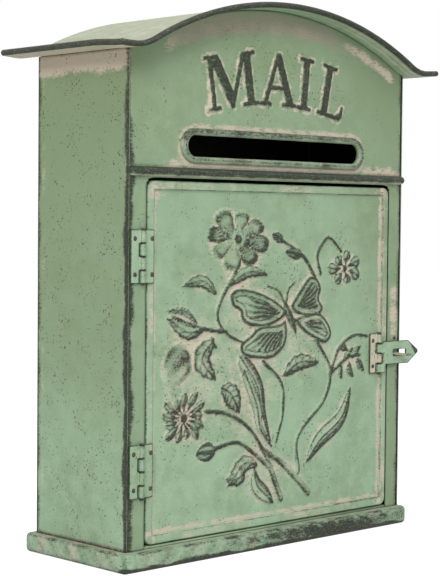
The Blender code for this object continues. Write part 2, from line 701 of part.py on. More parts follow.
STEMS = [
    [(-32, 58), (-36, 50), (-47, 34), (-49, 24), (-42, 15), (-29, 9)],
    [(-42, 16), (-62, 19), (-86, 27)],
    [(41, 50), (38, 62), (48, 73), (61, 64)],
    [(36, 48), (24, 62), (2, 73)],
    [(-58, -31), (-40, -34), (-22, -44), (-8, -61), (7, -91)],
    [(-50, -54), (-32, -52), (-16, -61), (-5, -69)],
    [(-10, -4), (6, -18), (8, -36), (0, -55)],
    [(37, 8), (51, -12), (46, -31), (22, -53), (22, -75), (30, -91)],
    [(52, -16), (63, 3)],
]
LEAVES = [
    ([(-40, 44), (-24, 52), (-6, 50)], 9),
    ([(-48, 40), (-62, 49), (-78, 44)], 9),
    ([(-64, 19), (-72, 11), (-86, 10)], 7),
    ([(-70, 21), (-76, 29), (-90, 33)], 6),
    ([(-66, 12), (-60, -2), (-48, -13)], 13),
    ([(-84, 12), (-88, 0), (-80, -14)], 18),
    ([(-48, -35), (-42, -22), (-27, -15)], 12),
    ([(-39, -61), (-27, -66), (-15, -78)], 12),
    ([(-17, -66), (-13, -80), (0, -93)], 10),
    ([(8, -14), (22, -6), (40, -7)], 10),
    ([(29, -90), (0, -56), (-10, -32), (-29, -2)], 14),
    ([(28, -70), (42, -55), (66, -44), (71, -25)], 12),
    ([(46, -40), (58, -36), (66, -26)], 8),
    ([(-30, -48), (-24, -36), (-12, -32)], 8),
]
BUDS = [
    ([(24, 62), (16, 60), (9, 64)], 6),
    ([(8, 72), (2, 78), (-6, 77)], 6),
    ([(-34, -38), (-42, -40), (-50, -44)], 7),
    ([(-50, -55), (-58, -59), (-66, -66)], 12),
]
WINGS = [
    ([(10, 27), (-14, 36), (-42, 41)], 25, 0.66),
    ([(14, 20), (-6, 10), (-22, 2)], 24, 0.62),
    ([(13, 29), (26, 40), (43, 47)], 20, 0.66),
    ([(17, 21), (34, 19), (51, 12)], 20, 0.62),
]
FEELERS = [
    [(9, 32), (3, 40), (-7, 43)],
    [(10, 32), (14, 40), (18, 46)],
]


FLOWERS = [
    ((-33, 72), 30, 21, 6, 19, 20),
    ((-74, -34), 18, 16, 8, 10, 10),
    ((63, 54), 16, 12, 6, 9, 0),
    ((72, -9), 12, 9, 5, 8, 30),
]
BUTTERFLY_BODY = [(9, 34), (14, 22), (20, 11)]
STEM_WIDTH = 2.6
STEM_RISE = 0.62
FEELER_WIDTH = 1.8
LEAF_RISE = 0.85
BUD_RISE = 0.95
PETAL_RISE = 0.98
WING_RISE = 1.05
BODY_RISE = 1.3
BUTTON_RISE = 1.2
PETAL_ROOT = 0.16
BUTTON_SIZE = 0.24


def make_relief():
    """A spray of flowers and leaves with a butterfly over it; each form has its own root and rise."""
    forms = [("stem", points, STEM_WIDTH, STEM_RISE, 3 * len(points) - 3, 0.5, True) for points in STEMS]
    forms += [("feeler", points, FEELER_WIDTH, STEM_RISE, 4, 0.5, True) for points in FEELERS]
    forms += [("leaf", points, width, LEAF_RISE, 6) for points, width in LEAVES]
    forms += [("bud", points, width, BUD_RISE, 4) for points, width in BUDS]
    for flower in FLOWERS:
        forms += [("petal", points, width, PETAL_RISE, 5, 0.6) for points, width in petals(*flower)]
    forms += [("wing", points, width, WING_RISE, 6, fullest) for points, width, fullest in WINGS]
    forms.append(("butterfly body", BUTTERFLY_BODY, 5, BODY_RISE, 5))
    solids = []
    for i, (name, points, width, rise, *shape) in enumerate(forms):
        share = i / len(forms)
        root = FIELD_Y + SHEET * (RELIEF_ROOT + RELIEF_ROOT_SPREAD * share)
        solids.append(pillow(name, root, points, width, rise * (1 + share * SHEET / RELIEF_UNIT / 10), *shape))
    for centre, reach_u, reach_v, *_ in FLOWERS:
        root = FIELD_Y + SHEET * (1 - RELIEF_ROOT / 2)
        solids.append(button("middle", root, centre, min(reach_u, reach_v) * BUTTON_SIZE, BUTTON_RISE))
    return gather("relief", solids)


def make_door_panel(material, axis):
    """The pressed door with the holes for its hinge and hasp rivets."""
    door = make_door_pan()
    combine(door, [make_relief()], "UNION", overlapping=True)
    holes = []
    for z in hinge_heights():
        for step in (-1, 1):
            holes.append(rivet_hole(DOOR_RIVET_X, z + step * RIVET_SPACING / 2, FRONT_Y))
    for step in (-1, 1):
        holes.append(rivet_hole(HASP_RIVET_X, HASP_Z + step * HASP_RIVET_SPACING / 2, FIELD_Y))
    combine(door, holes, "DIFFERENCE")
    return finish(door, "door_panel", material, axis)


# Rivets, leaves and pins

def hinge_heights():
    """Middles of the lower and the upper hinge."""
    return DOOR_MIDDLE.z - HINGE_SPACING / 2, DOOR_MIDDLE.z + HINGE_SPACING / 2


def rivet_hole(x, z, surface):
    """A cutter for a rivet's hole through a sheet whose face is at surface."""
    radius = RIVET_RADIUS + RIVET_CLEARANCE
    reach = 2 * SHEET
    return turned("hole", [(radius, surface - reach), (radius, surface + reach)], (x, z), "Y")


def make_rivet(name, material, x, z, front, back, axis=None):
    """A rivet from the face it holds at front to the face it holds at back."""
    head = front - JOIN_GAP
    tail = back + JOIN_GAP
    profile = [
        (RIVET_HEAD_RADIUS * DOME_TOP, head - RIVET_HEAD_HEIGHT),
        (RIVET_HEAD_RADIUS * DOME_SHOULDER, head - RIVET_HEAD_HEIGHT * DOME_SHOULDER_LEVEL),
        (RIVET_HEAD_RADIUS, head),
        (RIVET_RADIUS, head),
        (RIVET_RADIUS, tail),
        (RIVET_TAIL_RADIUS, tail),
        (RIVET_TAIL_RADIUS * TAIL_TAPER, tail + RIVET_TAIL_HEIGHT),
    ]
    return finish(turned(name, profile, (x, z), "Y"), name, material, axis)


def knuckle_spans(height, middle, own):
    """(low, high) of the knuckles that a leaf owns, counted from the top."""
    pitch = height / KNUCKLES
    spans = []
    for k in own:
        high = middle + height / 2 - k * pitch
        spans.append((high - pitch + KNUCKLE_GAP / 2, high - KNUCKLE_GAP / 2))
    return spans


def roll_knuckles(leaf, spans, axis_x, axis_y, tab_to, tab_low, tab_high):
    """Adds rolled knuckles to a leaf, joins them by tabs and bores them for the pin."""
    pieces = []
    for low, high in spans:
        profile = [(KNUCKLE_RADIUS, low), (KNUCKLE_RADIUS, high)]
        pieces.append(turned("knuckle", profile, (axis_x, axis_y), "Z", 16))
        near, far = sorted((axis_x, tab_to))
        pieces.append(box("tab", (near, tab_low, low), (far, tab_high, high)))
    combine(leaf, pieces, "UNION")
    bottom = min(low for low, _ in spans) - KNUCKLE_RADIUS
    top = max(high for _, high in spans) + KNUCKLE_RADIUS
    bore = turned("bore", [(BORE_RADIUS, bottom), (BORE_RADIUS, top)], (axis_x, axis_y), "Z", 12)
    return combine(leaf, [bore], "DIFFERENCE")


def make_leaf(name, material, near, far, z, own, rivet_x, parent=None):
    """One leaf of a door hinge, from the edge near its knuckles to its far edge."""
    low_x, high_x = sorted((near, far))
    half = HINGE_HEIGHT / 2
    leaf = box(name, (low_x, LEAF_FRONT, z - half), (high_x, LEAF_BACK, z + half))
    spans = knuckle_spans(HINGE_HEIGHT, z, own)
    inside = near + (far - near) / 4
    roll_knuckles(leaf, spans, HINGE_AXIS_X, HINGE_AXIS_Y, inside, LEAF_FRONT, LEAF_BACK)
    holes = [rivet_hole(rivet_x, z + step * RIVET_SPACING / 2, LEAF_FRONT) for step in (-1, 1)]
    combine(leaf, holes, "DIFFERENCE")
    return finish(leaf, name, material, parent)


def make_pin(name, material, height, x, y, z, parent=None):
    """A hinge pin with a head at each end."""
    end = height / 2 + KNUCKLE_GAP
    profile = [
        (PIN_HEAD_RADIUS * PIN_HEAD_TAPER, z - end - PIN_HEAD_HEIGHT),
        (PIN_HEAD_RADIUS, z - end - PIN_HEAD_HEIGHT / 2),
        (PIN_HEAD_RADIUS, z - end),
        (PIN_RADIUS, z - end),
        (PIN_RADIUS, z + end),
        (PIN_HEAD_RADIUS, z + end),
        (PIN_HEAD_RADIUS, z + end + PIN_HEAD_HEIGHT / 2),
        (PIN_HEAD_RADIUS * PIN_HEAD_TAPER, z + end + PIN_HEAD_HEIGHT),
    ]
    return finish(turned(name, profile, (x, y), "Z"), name, material, parent)


def make_hinges(paint, steel, axis):
    """Both door hinges: frame leaves and pins stay, door leaves turn."""
    frame_near = HINGE_AXIS_X - KNUCKLE_RADIUS - LEAF_TO_KNUCKLE
    door_near = HINGE_AXIS_X + KNUCKLE_RADIUS + LEAF_TO_KNUCKLE
    for place, z in zip(("lower", "upper"), hinge_heights()):
        make_leaf(f"{place}_hinge_frame_leaf", paint, frame_near, frame_near - FRAME_LEAF_WIDTH,
                  z, (0, 2), FRAME_RIVET_X)
        make_leaf(f"{place}_hinge_door_leaf", paint, door_near, door_near + DOOR_LEAF_WIDTH,
                  z, (1, 3), DOOR_RIVET_X, axis)
        make_pin(f"{place}_hinge_pin", steel, HINGE_HEIGHT, HINGE_AXIS_X, HINGE_AXIS_Y, z)
        for end, step in (("low", -1), ("high", 1)):
            height = z + step * RIVET_SPACING / 2
            make_rivet(f"{place}_hinge_frame_rivet_{end}", steel, FRAME_RIVET_X, height,
                       LEAF_FRONT, FRONT_Y + SHEET)
            make_rivet(f"{place}_hinge_door_rivet_{end}", steel, DOOR_RIVET_X, height,
                       LEAF_FRONT, FRONT_Y + SHEET, axis)


# Hasp and staple

def make_hasp(paint, steel, door_axis, hasp_axis):
    """The hasp's leaf and pin on the door, and the plate that closes over the staple."""
    leaf_near = HASP_AXIS_X - KNUCKLE_RADIUS - LEAF_TO_KNUCKLE
    leaf_far = leaf_near - HASP_LEAF_WIDTH
    half = HASP_HEIGHT / 2
    leaf_front = HASP_LEAF_BACK - LEAF_THICKNESS
    leaf = box("hasp_leaf", (leaf_far, leaf_front, HASP_Z - half), (leaf_near, HASP_LEAF_BACK, HASP_Z + half))
    spans = knuckle_spans(HASP_HEIGHT, HASP_Z, (0, 2))
    roll_knuckles(leaf, spans, HASP_AXIS_X, HASP_AXIS_Y, (leaf_near * 3 + leaf_far) / 4,
                  leaf_front, HASP_LEAF_BACK)
    heights = [HASP_Z + step * HASP_RIVET_SPACING / 2 for step in (-1, 1)]
    combine(leaf, [rivet_hole(HASP_RIVET_X, z, leaf_front) for z in heights], "DIFFERENCE")
    finish(leaf, "hasp_leaf", paint, door_axis)
    for end, z in zip(("low", "high"), heights):
        make_rivet(f"hasp_rivet_{end}", steel, HASP_RIVET_X, z, leaf_front, FIELD_Y + SHEET, door_axis)
    make_pin("hasp_pin", steel, HASP_HEIGHT, HASP_AXIS_X, HASP_AXIS_Y, HASP_Z, door_axis)
    make_hasp_plate(paint, hasp_axis)


def make_hasp_plate(material, axis):
    """The pointed plate with its slot, hung on two knuckles by a neck along its edge."""
    near = HASP_AXIS_X + KNUCKLE_RADIUS + LEAF_TO_KNUCKLE
    tip = HASP_AXIS_X + HASP_PLATE_LENGTH
    half = HASP_PLATE_HEIGHT / 2
    shoulder = tip - HASP_POINT_LENGTH
    spans = knuckle_spans(HASP_HEIGHT, HASP_Z, (1, 3))
    foot = spans[1][0]
    point = round_corners([(shoulder, HASP_Z - half), (tip, HASP_Z), (shoulder, HASP_Z + half)],
                          HASP_POINT_RADIUS)
    outline = [(near, foot), (near + HASP_NECK, foot), (near + HASP_NECK, HASP_Z - half)]
    outline += point
    outline += [(near, HASP_Z + half)]
    back = HASP_PLATE_BACK
    front = back - HASP_PLATE_THICKNESS
    plate = prism("hasp_plate", outline, front, back)
    roll_knuckles(plate, spans, HASP_AXIS_X, HASP_AXIS_Y, near + HASP_NECK / 2, front, back)
    slot_left = STAPLE_X - STAPLE_WIDTH / 2 - HASP_SLOT_LEFT_CLEARANCE
    slot = box("slot", (slot_left, front - SHEET, HASP_Z - HASP_SLOT_HEIGHT / 2),
               (slot_left + HASP_SLOT_LENGTH, back + SHEET, HASP_Z + HASP_SLOT_HEIGHT / 2))
    combine(plate, [slot], "DIFFERENCE")
    return finish(plate, "hasp_plate", material, axis)


def make_staple(paint, steel):
    """A tongue for the lock through the hasp's slot, bent up behind the panel and riveted to it."""
    half = STAPLE_WIDTH / 2
    foot_front = FRONT_Y + SHEET + JOIN_GAP
    foot_back = foot_front + STAPLE_THICKNESS
    root = STAPLE_LENGTH - half
    end = []
    for i in range(9):
        a = pi + pi * i / 8
        end.append((STAPLE_X + half * cos(a), FRONT_Y - root + half * sin(a)))
    outline = end + [(STAPLE_X + half, foot_back), (STAPLE_X - half, foot_back)]
    low = STAPLE_Z - STAPLE_THICKNESS / 2
    staple = prism("staple", outline, low, low + STAPLE_THICKNESS, "Z")
    foot = box("foot", (STAPLE_X - half, foot_front, low + STAPLE_THICKNESS / 2),
               (STAPLE_X + half, foot_back, low + STAPLE_FOOT))
    combine(staple, [foot], "UNION")
    lock = (STAPLE_X, FRONT_Y - root)
    span = 2 * STAPLE_THICKNESS
    lock_hole = turned("lock hole", [(STAPLE_HOLE_RADIUS, STAPLE_Z - span),
                                     (STAPLE_HOLE_RADIUS, STAPLE_Z + span)], lock, "Z")
    rivet_z = STAPLE_Z + STAPLE_RIVET_RISE
    combine(staple, [lock_hole, rivet_hole(STAPLE_X, rivet_z, foot_front)], "DIFFERENCE")
    finish(staple, "staple", paint)
    make_rivet("staple_rivet", steel, STAPLE_X, rivet_z, FRONT_Y, foot_back)


# The whole box

def build():
    """Clears the scene and models every piece."""
    for obj in list(bpy.data.objects):
        bpy.data.objects.remove(obj)
    sage = make_material("sage paint", (0.27, 0.38, 0.27), 0.6, 0.0)
    side_sage = make_material("olive sage paint", (0.24, 0.33, 0.21), 0.6, 0.0)
    rubbed = make_material("rubbed dark iron", (0.06, 0.06, 0.055), 0.55, 0.4)
    pale = make_material("pale sage paint", (0.52, 0.58, 0.42), 0.6, 0.0)

    door_axis = add_axis("door_axis", HINGE_AXIS_X, HINGE_AXIS_Y, DOOR_MIDDLE.z)
    hasp_axis = add_axis("hasp_axis", HASP_AXIS_X, HASP_AXIS_Y, HASP_Z)
    hasp_axis.parent = door_axis
    hasp_axis.matrix_parent_inverse = door_axis.matrix_world.inverted()
    bpy.context.view_layer.update()

    make_base_pan(sage)
    make_body_shell(side_sage)
    make_front_panel(sage)
    make_drip_rail(rubbed)
    make_roof(pale)
    make_door_panel(sage, door_axis)
    make_hinges(sage, rubbed, door_axis)
    make_hasp(sage, rubbed, door_axis, hasp_axis)
    make_staple(sage, rubbed)


build()
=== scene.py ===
"""Dresses the sheet metal letter box: fine pressed sheets, domed rivets and worn sage paint."""

import functools
import math

import bmesh
import bpy
import numpy as np
from mathutils import Matrix, Vector


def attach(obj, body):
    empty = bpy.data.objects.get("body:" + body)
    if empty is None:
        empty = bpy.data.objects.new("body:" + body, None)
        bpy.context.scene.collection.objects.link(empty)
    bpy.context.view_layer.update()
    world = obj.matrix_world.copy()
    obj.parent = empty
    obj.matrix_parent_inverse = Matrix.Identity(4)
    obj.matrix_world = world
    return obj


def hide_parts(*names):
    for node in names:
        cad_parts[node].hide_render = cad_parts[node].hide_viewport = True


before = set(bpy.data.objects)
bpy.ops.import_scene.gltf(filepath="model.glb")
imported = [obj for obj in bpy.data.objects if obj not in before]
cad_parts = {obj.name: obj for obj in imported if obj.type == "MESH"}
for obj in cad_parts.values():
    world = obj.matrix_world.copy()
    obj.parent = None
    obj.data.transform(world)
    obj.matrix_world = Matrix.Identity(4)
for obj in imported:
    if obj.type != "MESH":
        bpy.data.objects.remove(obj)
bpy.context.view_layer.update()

MM = 0.001

# Sizes, in millimetres, as the solids have them
SHEET = 1.2
FRONT_Y = -43.3
BACK_Y = 47.0
HALF_WIDTH = 128.0
SHELL_BEND = 3.0
JOIN_GAP = 0.3
BASE_HEIGHT = 12.3
FLOOR_Z = BASE_HEIGHT + JOIN_GAP
BASE_OVERHANG = 4.9
BASE_CORNER = 4.0
BASE_EDGE = 3.0
BASE_LIP = 9.0
BASE_MIDDLE = 44.0

TOTAL_HEIGHT = 355.5
RIM_RADIUS = 1.8
EAVE_ROLL_RADIUS = 1.9
CROWN_SLOPE = math.radians(28.5)
EAVE_RISE = math.radians(4)
EAVE_RADIUS = 30.0
EAVE_LOW_X = 133.6
EAVE_END_X = 145.6
CROWN_RADIUS = EAVE_LOW_X / math.sin(CROWN_SLOPE) - EAVE_RADIUS
CROWN_CENTRE_Z = TOTAL_HEIGHT - RIM_RADIUS - CROWN_RADIUS
EAVE_CENTRE_Z = CROWN_CENTRE_Z + (CROWN_RADIUS + EAVE_RADIUS) * math.cos(CROWN_SLOPE)
ROOF_FRONT = FRONT_Y - 17.1 + EAVE_ROLL_RADIUS
ROOF_REAR = BACK_Y + 13.4

PANEL_HALF = 126.5
PANEL_BEND = 1.6
FLANGE = 10.0
SILL_DEPTH = 12.0
ARCH_FROM = 300.0
OPENING = (-113.2, 115.1, 13.8, 241.0)
OPENING_CORNER = 6.4
SLOT_Z = 261.35
SLOT_RADIUS = 6.75
SLOT_STRAIGHT = 80.0 - SLOT_RADIUS
LIP_WIDTH = 4.4
SLOT_LIP_END = 1.4
RAIL_Z = 244.55
RAIL_HALF = 2.95
RAIL_DEPTH = 3.8
BASELINE_Z = 289.85
LETTER_HEIGHT = 35.0
LETTER_RELIEF = 1.3

DOOR_X = 0.95
DOOR_Z = 126.9
DOOR_HALF = (112.75, 112.1)
DOOR_CORNER = 5.0
DOOR_EDGE = 1.0
DOOR_GRID = 0.86
DOOR_BORDER = 5.0
DOOR_STEP = 1.2
FIELD_DROP = 1.5
DOOR_RETURN = 8.0
FIELD_SCALE = (1.0655, 1.059)

HINGE_HEIGHTS = (61.25, 192.55)
HASP_Z = 122.7
LEAF_THICKNESS = 1.0
RIVET_HEAD_RADIUS = 1.25
RIVET_HEAD_HEIGHT = 0.6
RIVET_SHANK_RADIUS = 0.7
RIVET_LENGTH = 2.6
HINGE_RIVETS = {"frame": (-123.0, "box"), "door": (-109.2, "door")}
HINGE_RIVET_STEP = 11.0
HASP_RIVET_X = 99.2
HASP_RIVET_STEP = 9.0


# Camera as fitted to the photograph: turn, tilt and roll in degrees, place in metres, focal length in pixels
CAMERA_TURN = (43.8499, -2.3417, 0.5205)
CAMERA_PLACE = (-0.76303, -0.78518, 0.21409)
FOCAL_PIXELS = 1617.48
PHOTO_HEIGHT = 576
SENSOR_HEIGHT = 36.0

# Studio, in metres and watts
WORLD_LIGHT = 0.43
LAMP_AIM_Z = 0.18
LAMPS = {"front_lamp": ((-1.7, -1.25, 1.35), 0.8, 36), "top_lamp": ((0.5, -1.2, 2.0), 1.2, 12)}
FLOOR_RADIUS = 6.0
FLOOR_LIFT = 0.6


def linear(red, green, blue):
    """A colour written as screen values from 0 to 255."""
    values = []
    for value in (red, green, blue):
        value /= 255
        values.append(value / 12.92 if value <= 0.04045 else ((value + 0.055) / 1.055) ** 2.4)
    return (*values, 1.0)


SAGE = linear(149, 176, 146)
SAGE_LIGHT = linear(164, 189, 160)
OLIVE_SAGE = linear(119, 137, 103)
FADED = linear(173, 177, 154)
BEIGE = linear(201, 186, 169)
TAUPE = linear(150, 146, 128)
GRAPHITE = linear(38, 40, 33)
BROWN = linear(88, 68, 52)
STEEL = linear(92, 94, 86)
PAINT_SPECULAR = 0.28


# Finishes

def add_node(tree, kind, inputs=None, **settings):
    """A node with its settings, its inputs given as values or as the sockets they are joined to."""
    node = tree.nodes.new(kind)
    for name, value in settings.items():
        setattr(node, name, value)
    for place, value in (inputs or {}).items():
        if isinstance(value, bpy.types.NodeSocket):
            tree.links.new(value, node.inputs[place])
        else:
            node.inputs[place].default_value = value
    return node


class Finish:
    """A painted finish that is put together from a few named steps."""

    def __init__(self, name):
        self.material = bpy.data.materials.new(name)
        self.material.use_nodes = True
        self.tree = self.material.node_tree
        self.shader = self.tree.nodes["Principled BSDF"]
        self.shader.inputs["Specular IOR Level"].default_value = PAINT_SPECULAR
        self.place = add_node(self.tree, "ShaderNodeTexCoord").outputs["Object"]

    def noise(self, size, detail=3.0, rough=0.6, stretch=None):
        """Cloudy noise with patches of about size millimetres."""
        place = self.place
        if stretch:
            place = add_node(self.tree, "ShaderNodeMapping", {"Vector": place, "Scale": stretch}).outputs[0]
        cloud = {"Vector": place, "Scale": 1.0 / (size * MM), "Detail": detail, "Roughness": rough}
        return add_node(self.tree, "ShaderNodeTexNoise", cloud).outputs["Fac"]

    def mark(self, name):
        return add_node(self.tree, "ShaderNodeAttribute", attribute_name=name).outputs["Fac"]

    def sum(self, operation, *values):
        return add_node(self.tree, "ShaderNodeMath", dict(enumerate(values)), operation=operation).outputs[0]

    def step(self, value, low, high, to_low=0.0, to_high=1.0):
        given = dict(enumerate((value, low, high, to_low, to_high)))
        return add_node(self.tree, "ShaderNodeMapRange", given, interpolation_type="SMOOTHSTEP").outputs[0]

    def mix(self, share, first, second):
        given = {0: share, 6: first, 7: second}
        return add_node(self.tree, "ShaderNodeMix", given, data_type="RGBA").outputs[2]

    def worn(self, name, grain, spread, low=0.2, high=0.78):
        """A mark broken up by noise, as worn or washed paint is."""
        share = self.sum("MULTIPLY_ADD", self.step(grain, 0.36, 0.64), spread, 1 - spread / 2)
        return self.step(self.sum("MULTIPLY", self.mark(name), share), low, high)

    def complete(self, tone, rough, metal, height, strength, depth):
        """Joins colour, roughness, metal and a grain of some depth in millimetres to the shader."""
        grain = {"Height": height, "Strength": strength, "Distance": depth * MM}
        normal = add_node(self.tree, "ShaderNodeBump", grain).outputs["Normal"]
        given = {"Base Color": tone, "Roughness": rough, "Metallic": metal, "Normal": normal}
        for name, value in given.items():
            self.tree.links.new(value, self.shader.inputs[name])
        return self.material


def worn_paint(name, main, light, deep, gloss=0.5, speck_share=0.5):
    """Flat sage paint: brushed tone, a deeper tone that paints shade toward the tops, painted shade under the
    roof, wash in the hollows, rubbed edges with painted shade on pressed forms, pinholes and grain.
    """
    f = Finish(name)
    broad = f.noise(48, 2.0)
    medium = f.noise(9, 4.0)
    fine = f.noise(1.3, 5.0, 0.75)
    grain = f.noise(0.5, 2.0)
    brushed = f.noise(1.5, 4.0, 0.65, (0.3, 1.0, 1.3))
    tone = f.mix(f.step(broad, 0.3, 0.7, 0.0, 0.5), main, deep)
    tone = f.mix(f.step(fine, 0.42, 0.28, 0.0, 0.55), tone, deep)
    tone = f.mix(f.step(fine, 0.56, 0.72, 0.0, 0.5), tone, light)
    tone = f.mix(f.step(f.sum("MULTIPLY_ADD", fine, 0.4, medium), 0.55, 0.95, 0.0, 0.6), tone, light)
    # Painted shade: this mark deepens the tone toward the tops under the roof, toward the right of the front
    # and door, and under the rail.
    tone = f.mix(f.mark("olive"), tone, deep)
    breakup = f.sum("MULTIPLY_ADD", brushed, 0.6, f.sum("MULTIPLY", medium, 0.4))
    wash = f.worn("wash", breakup, 1.1)
    tone = f.mix(f.sum("MULTIPLY", wash, 0.86), tone, BEIGE)
    shade = f.worn("shade", breakup, 0.7)
    tone = f.mix(f.sum("MULTIPLY", shade, 0.8), tone, TAUPE)
    scratch = f.sum("MULTIPLY_ADD", fine, 0.55, f.sum("MULTIPLY", brushed, 0.45))
    # This mark darkens to graphite: rubbed paint, and painted shade on the low sides of the door's pressed
    # forms.
    rub = f.worn("rub", scratch, 0.9, 0.12, 0.82)
    streak = f.noise(0.9, 3.0, 0.8, (0.4, 1.0, 1.0))
    rub = f.sum("MULTIPLY", rub, f.step(streak, 0.3, 0.5, 0.68, 1.0))
    tone = f.mix(f.sum("MULTIPLY", rub, 0.96), tone, GRAPHITE)
    dots = f.noise(1.45, 1.0)
    crowd = f.step(f.sum("MULTIPLY_ADD", f.mark("speckle"), 0.14, f.noise(16, 2.0)), 0.44, 0.74)
    level = f.sum("MULTIPLY_ADD", crowd, -0.115, 0.742 + 0.03 * (0.5 - speck_share))
    specks = f.step(f.sum("SUBTRACT", dots, level), 0.0, 0.04)
    tone = f.mix(f.sum("MULTIPLY", specks, 0.85), tone, BROWN)
    rough = f.step(medium, 0.3, 0.7, gloss, gloss + 0.14)
    rough = f.sum("MULTIPLY_ADD", rub, -0.1, f.sum("MULTIPLY_ADD", wash, 0.15, rough))
    height = f.sum("MULTIPLY_ADD", fine, 0.9, f.sum("MULTIPLY", grain, 0.3))
    height = f.sum("MULTIPLY_ADD", specks, -1.0, height)
    height = f.sum("MULTIPLY_ADD", f.sum("ADD", wash, rub), -0.35, height)
    return f.complete(tone, rough, f.sum("MULTIPLY", rub, 0.15), height, 0.85, 0.2)


def rubbed_metal(name, main, worn_to, share):
    """Dark iron that shows through: scratched, flecked with the old green and a little rust."""
    f = Finish(name)
    medium = f.noise(3.5, 4.0)
    fine = f.noise(0.8, 4.0, 0.7)
    scratch = f.noise(1.4, 3.0, 0.6, (0.12, 1.0, 1.0))
    tone = f.mix(f.step(fine, 0.35, 0.7), main, GRAPHITE)
    flecks = f.sum("MULTIPLY_ADD", scratch, 0.6, f.sum("MULTIPLY", medium, 0.4))
    flecks = f.sum("SUBTRACT", flecks, f.sum("MULTIPLY", f.mark("rub"), 0.12))
    flecks = f.step(flecks, 0.62 - share * 0.2, 0.74 - share * 0.2)
    tone = f.mix(f.sum("MULTIPLY", flecks, 0.8), tone, worn_to)
    rust = f.step(f.noise(5, 5.0, 0.7), 0.62, 0.72, 0.0, 0.6)
    tone = f.mix(rust, tone, BROWN)
    height = f.sum("MULTIPLY_ADD", flecks, 0.5, f.sum("ADD", fine, scratch))
    metal = f.sum("MULTIPLY_ADD", flecks, -0.4, 0.5)
    return f.complete(tone, f.step(fine, 0.3, 0.7, 0.38, 0.6), metal, height, 0.6, 0.15)


sage_finish = worn_paint("distressed_sage", SAGE, SAGE_LIGHT, OLIVE_SAGE)
olive_finish = worn_paint("distressed_olive_sage", SAGE, SAGE_LIGHT, OLIVE_SAGE, 0.52, 0.8)
pale_finish = worn_paint("sun_faded_sage", FADED, linear(205, 210, 190), linear(170, 182, 150), 0.58, 0.2)
bead_finish = rubbed_metal("rubbed_bead", STEEL, SAGE_LIGHT, 0.35)
inside_finish = rubbed_metal("dark_inside", linear(34, 37, 32), linear(60, 68, 56), 0.1)
rivet_finish = rubbed_metal("worn_rivet", STEEL, BEIGE, 0.1)


# Meshes

def add_piece(name, points, faces, marks, finish, body, slot, *nodes):
    """A finished mesh from points in millimetres, set on its body. Points past a mark's end have none."""
    mesh = bpy.data.meshes.new(name)
    mesh.from_pydata((np.asarray(points) * MM).tolist(), [], faces)
    for mark, values in marks.items():
        full = np.zeros(len(points), dtype=np.float32)
        full[:values.size] = np.clip(values, 0, 1.5).reshape(-1)
        mesh.attributes.new(mark, "FLOAT", "POINT").data.foreach_set("value", full)
    bm = bmesh.new()
    bm.from_mesh(mesh)
    bmesh.ops.recalc_face_normals(bm, faces=bm.faces)
    bm.to_mesh(mesh)
    bm.free()
    mesh.shade_smooth()
    return set_piece(name, mesh, finish, body, slot, *nodes)


def darken_inside(piece, first, last):
    """Gives the faces whose points are all between two numbers the bare dark metal of the inside."""
    piece.data.materials.append(inside_finish)
    for polygon in piece.data.polygons:
        if all(first <= k < last for k in polygon.vertices):
            polygon.material_index = len(piece.data.materials) - 1


def finished_mesh(blank):
    """The mesh that an object's modifiers make. The object itself is removed."""
    evaluated = blank.evaluated_get(bpy.context.evaluated_depsgraph_get())
    mesh = bpy.data.meshes.new_from_object(evaluated)
    bpy.data.objects.remove(blank)
    mesh.shade_smooth()
    return mesh


def set_piece(name, mesh, finish, body, slot, *nodes):
    mesh.name = name
    mesh.materials.clear()
    mesh.materials.append(finish)
    piece = bpy.data.objects.new(name, mesh)
    bpy.context.scene.collection.objects.link(piece)
    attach(piece, body)
    if nodes:
        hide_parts(*nodes)
    return piece


def smooth(value, low, high):
    share = np.clip((value - low) / (high - low), 0, 1)
    return share * share * (3 - 2 * share)


def band(distance, width):
    """Full at nothing, gone at width."""
    return 1 - smooth(distance, 0.0, width)


def bell(value, middle, spread):
    """Full at the middle, fading softly to both sides."""
    return np.exp(-((value - middle) / spread) ** 2)


def most(*marks):
    """The strongest of several marks at each point."""
    return functools.reduce(np.maximum, marks)


def waver(position, size, seed, amount=1.0):
    """A smooth wander along a line, between minus amount and amount."""
    rng = np.random.default_rng(seed)
    total = np.zeros_like(position, dtype=float)
    for octave in range(4):
        phase = rng.uniform(0, 2 * math.pi)
        rate = rng.uniform(0.8, 1.3) * 2 ** octave
        total += np.sin(position * rate * 2 * math.pi / size + phase) / 1.6 ** octave
    return amount * total / 2.2


def grid_faces(rows, columns, start=0, closed=False):
    """Faces over a grid of points numbered row by row."""
    faces = []
    for i in range(rows - 1):
        for j in range(columns if closed else columns - 1):
            k = (j + 1) % columns
            a, b = start + i * columns, start + (i + 1) * columns
            faces.append((a + j, a + k, b + k, b + j))
    return faces


def rod_faces(rows, columns):
    """Faces round a rod of rings, with both ends closed."""
    last = (rows - 1) * columns
    ends = [tuple(range(columns)), tuple(range(last, last + columns))[::-1]]
    return grid_faces(rows, columns, closed=True) + ends


def grid_points(*places):
    """One list of points from arrays of x, y and z that make a grid together."""
    return np.stack(np.broadcast_arrays(*places), -1).reshape(-1, 3)


def join_parts(*parts):
    """One mesh of several sets of points, faces and marks, each numbered from its own start."""
    faces, marks, start = [], {}, 0
    total = sum(len(points) for points, _, _ in parts)
    for points, own_faces, own_marks in parts:
        faces += [tuple(start + k for k in face) for face in own_faces]
        for mark, values in own_marks.items():
            full = marks.setdefault(mark, np.zeros(total))
            full[start:start + (np.size(values) if np.size(values) > 1 else len(points))] = np.ravel(values)
        start += len(points)
    return np.vstack([points for points, _, _ in parts]), faces, marks


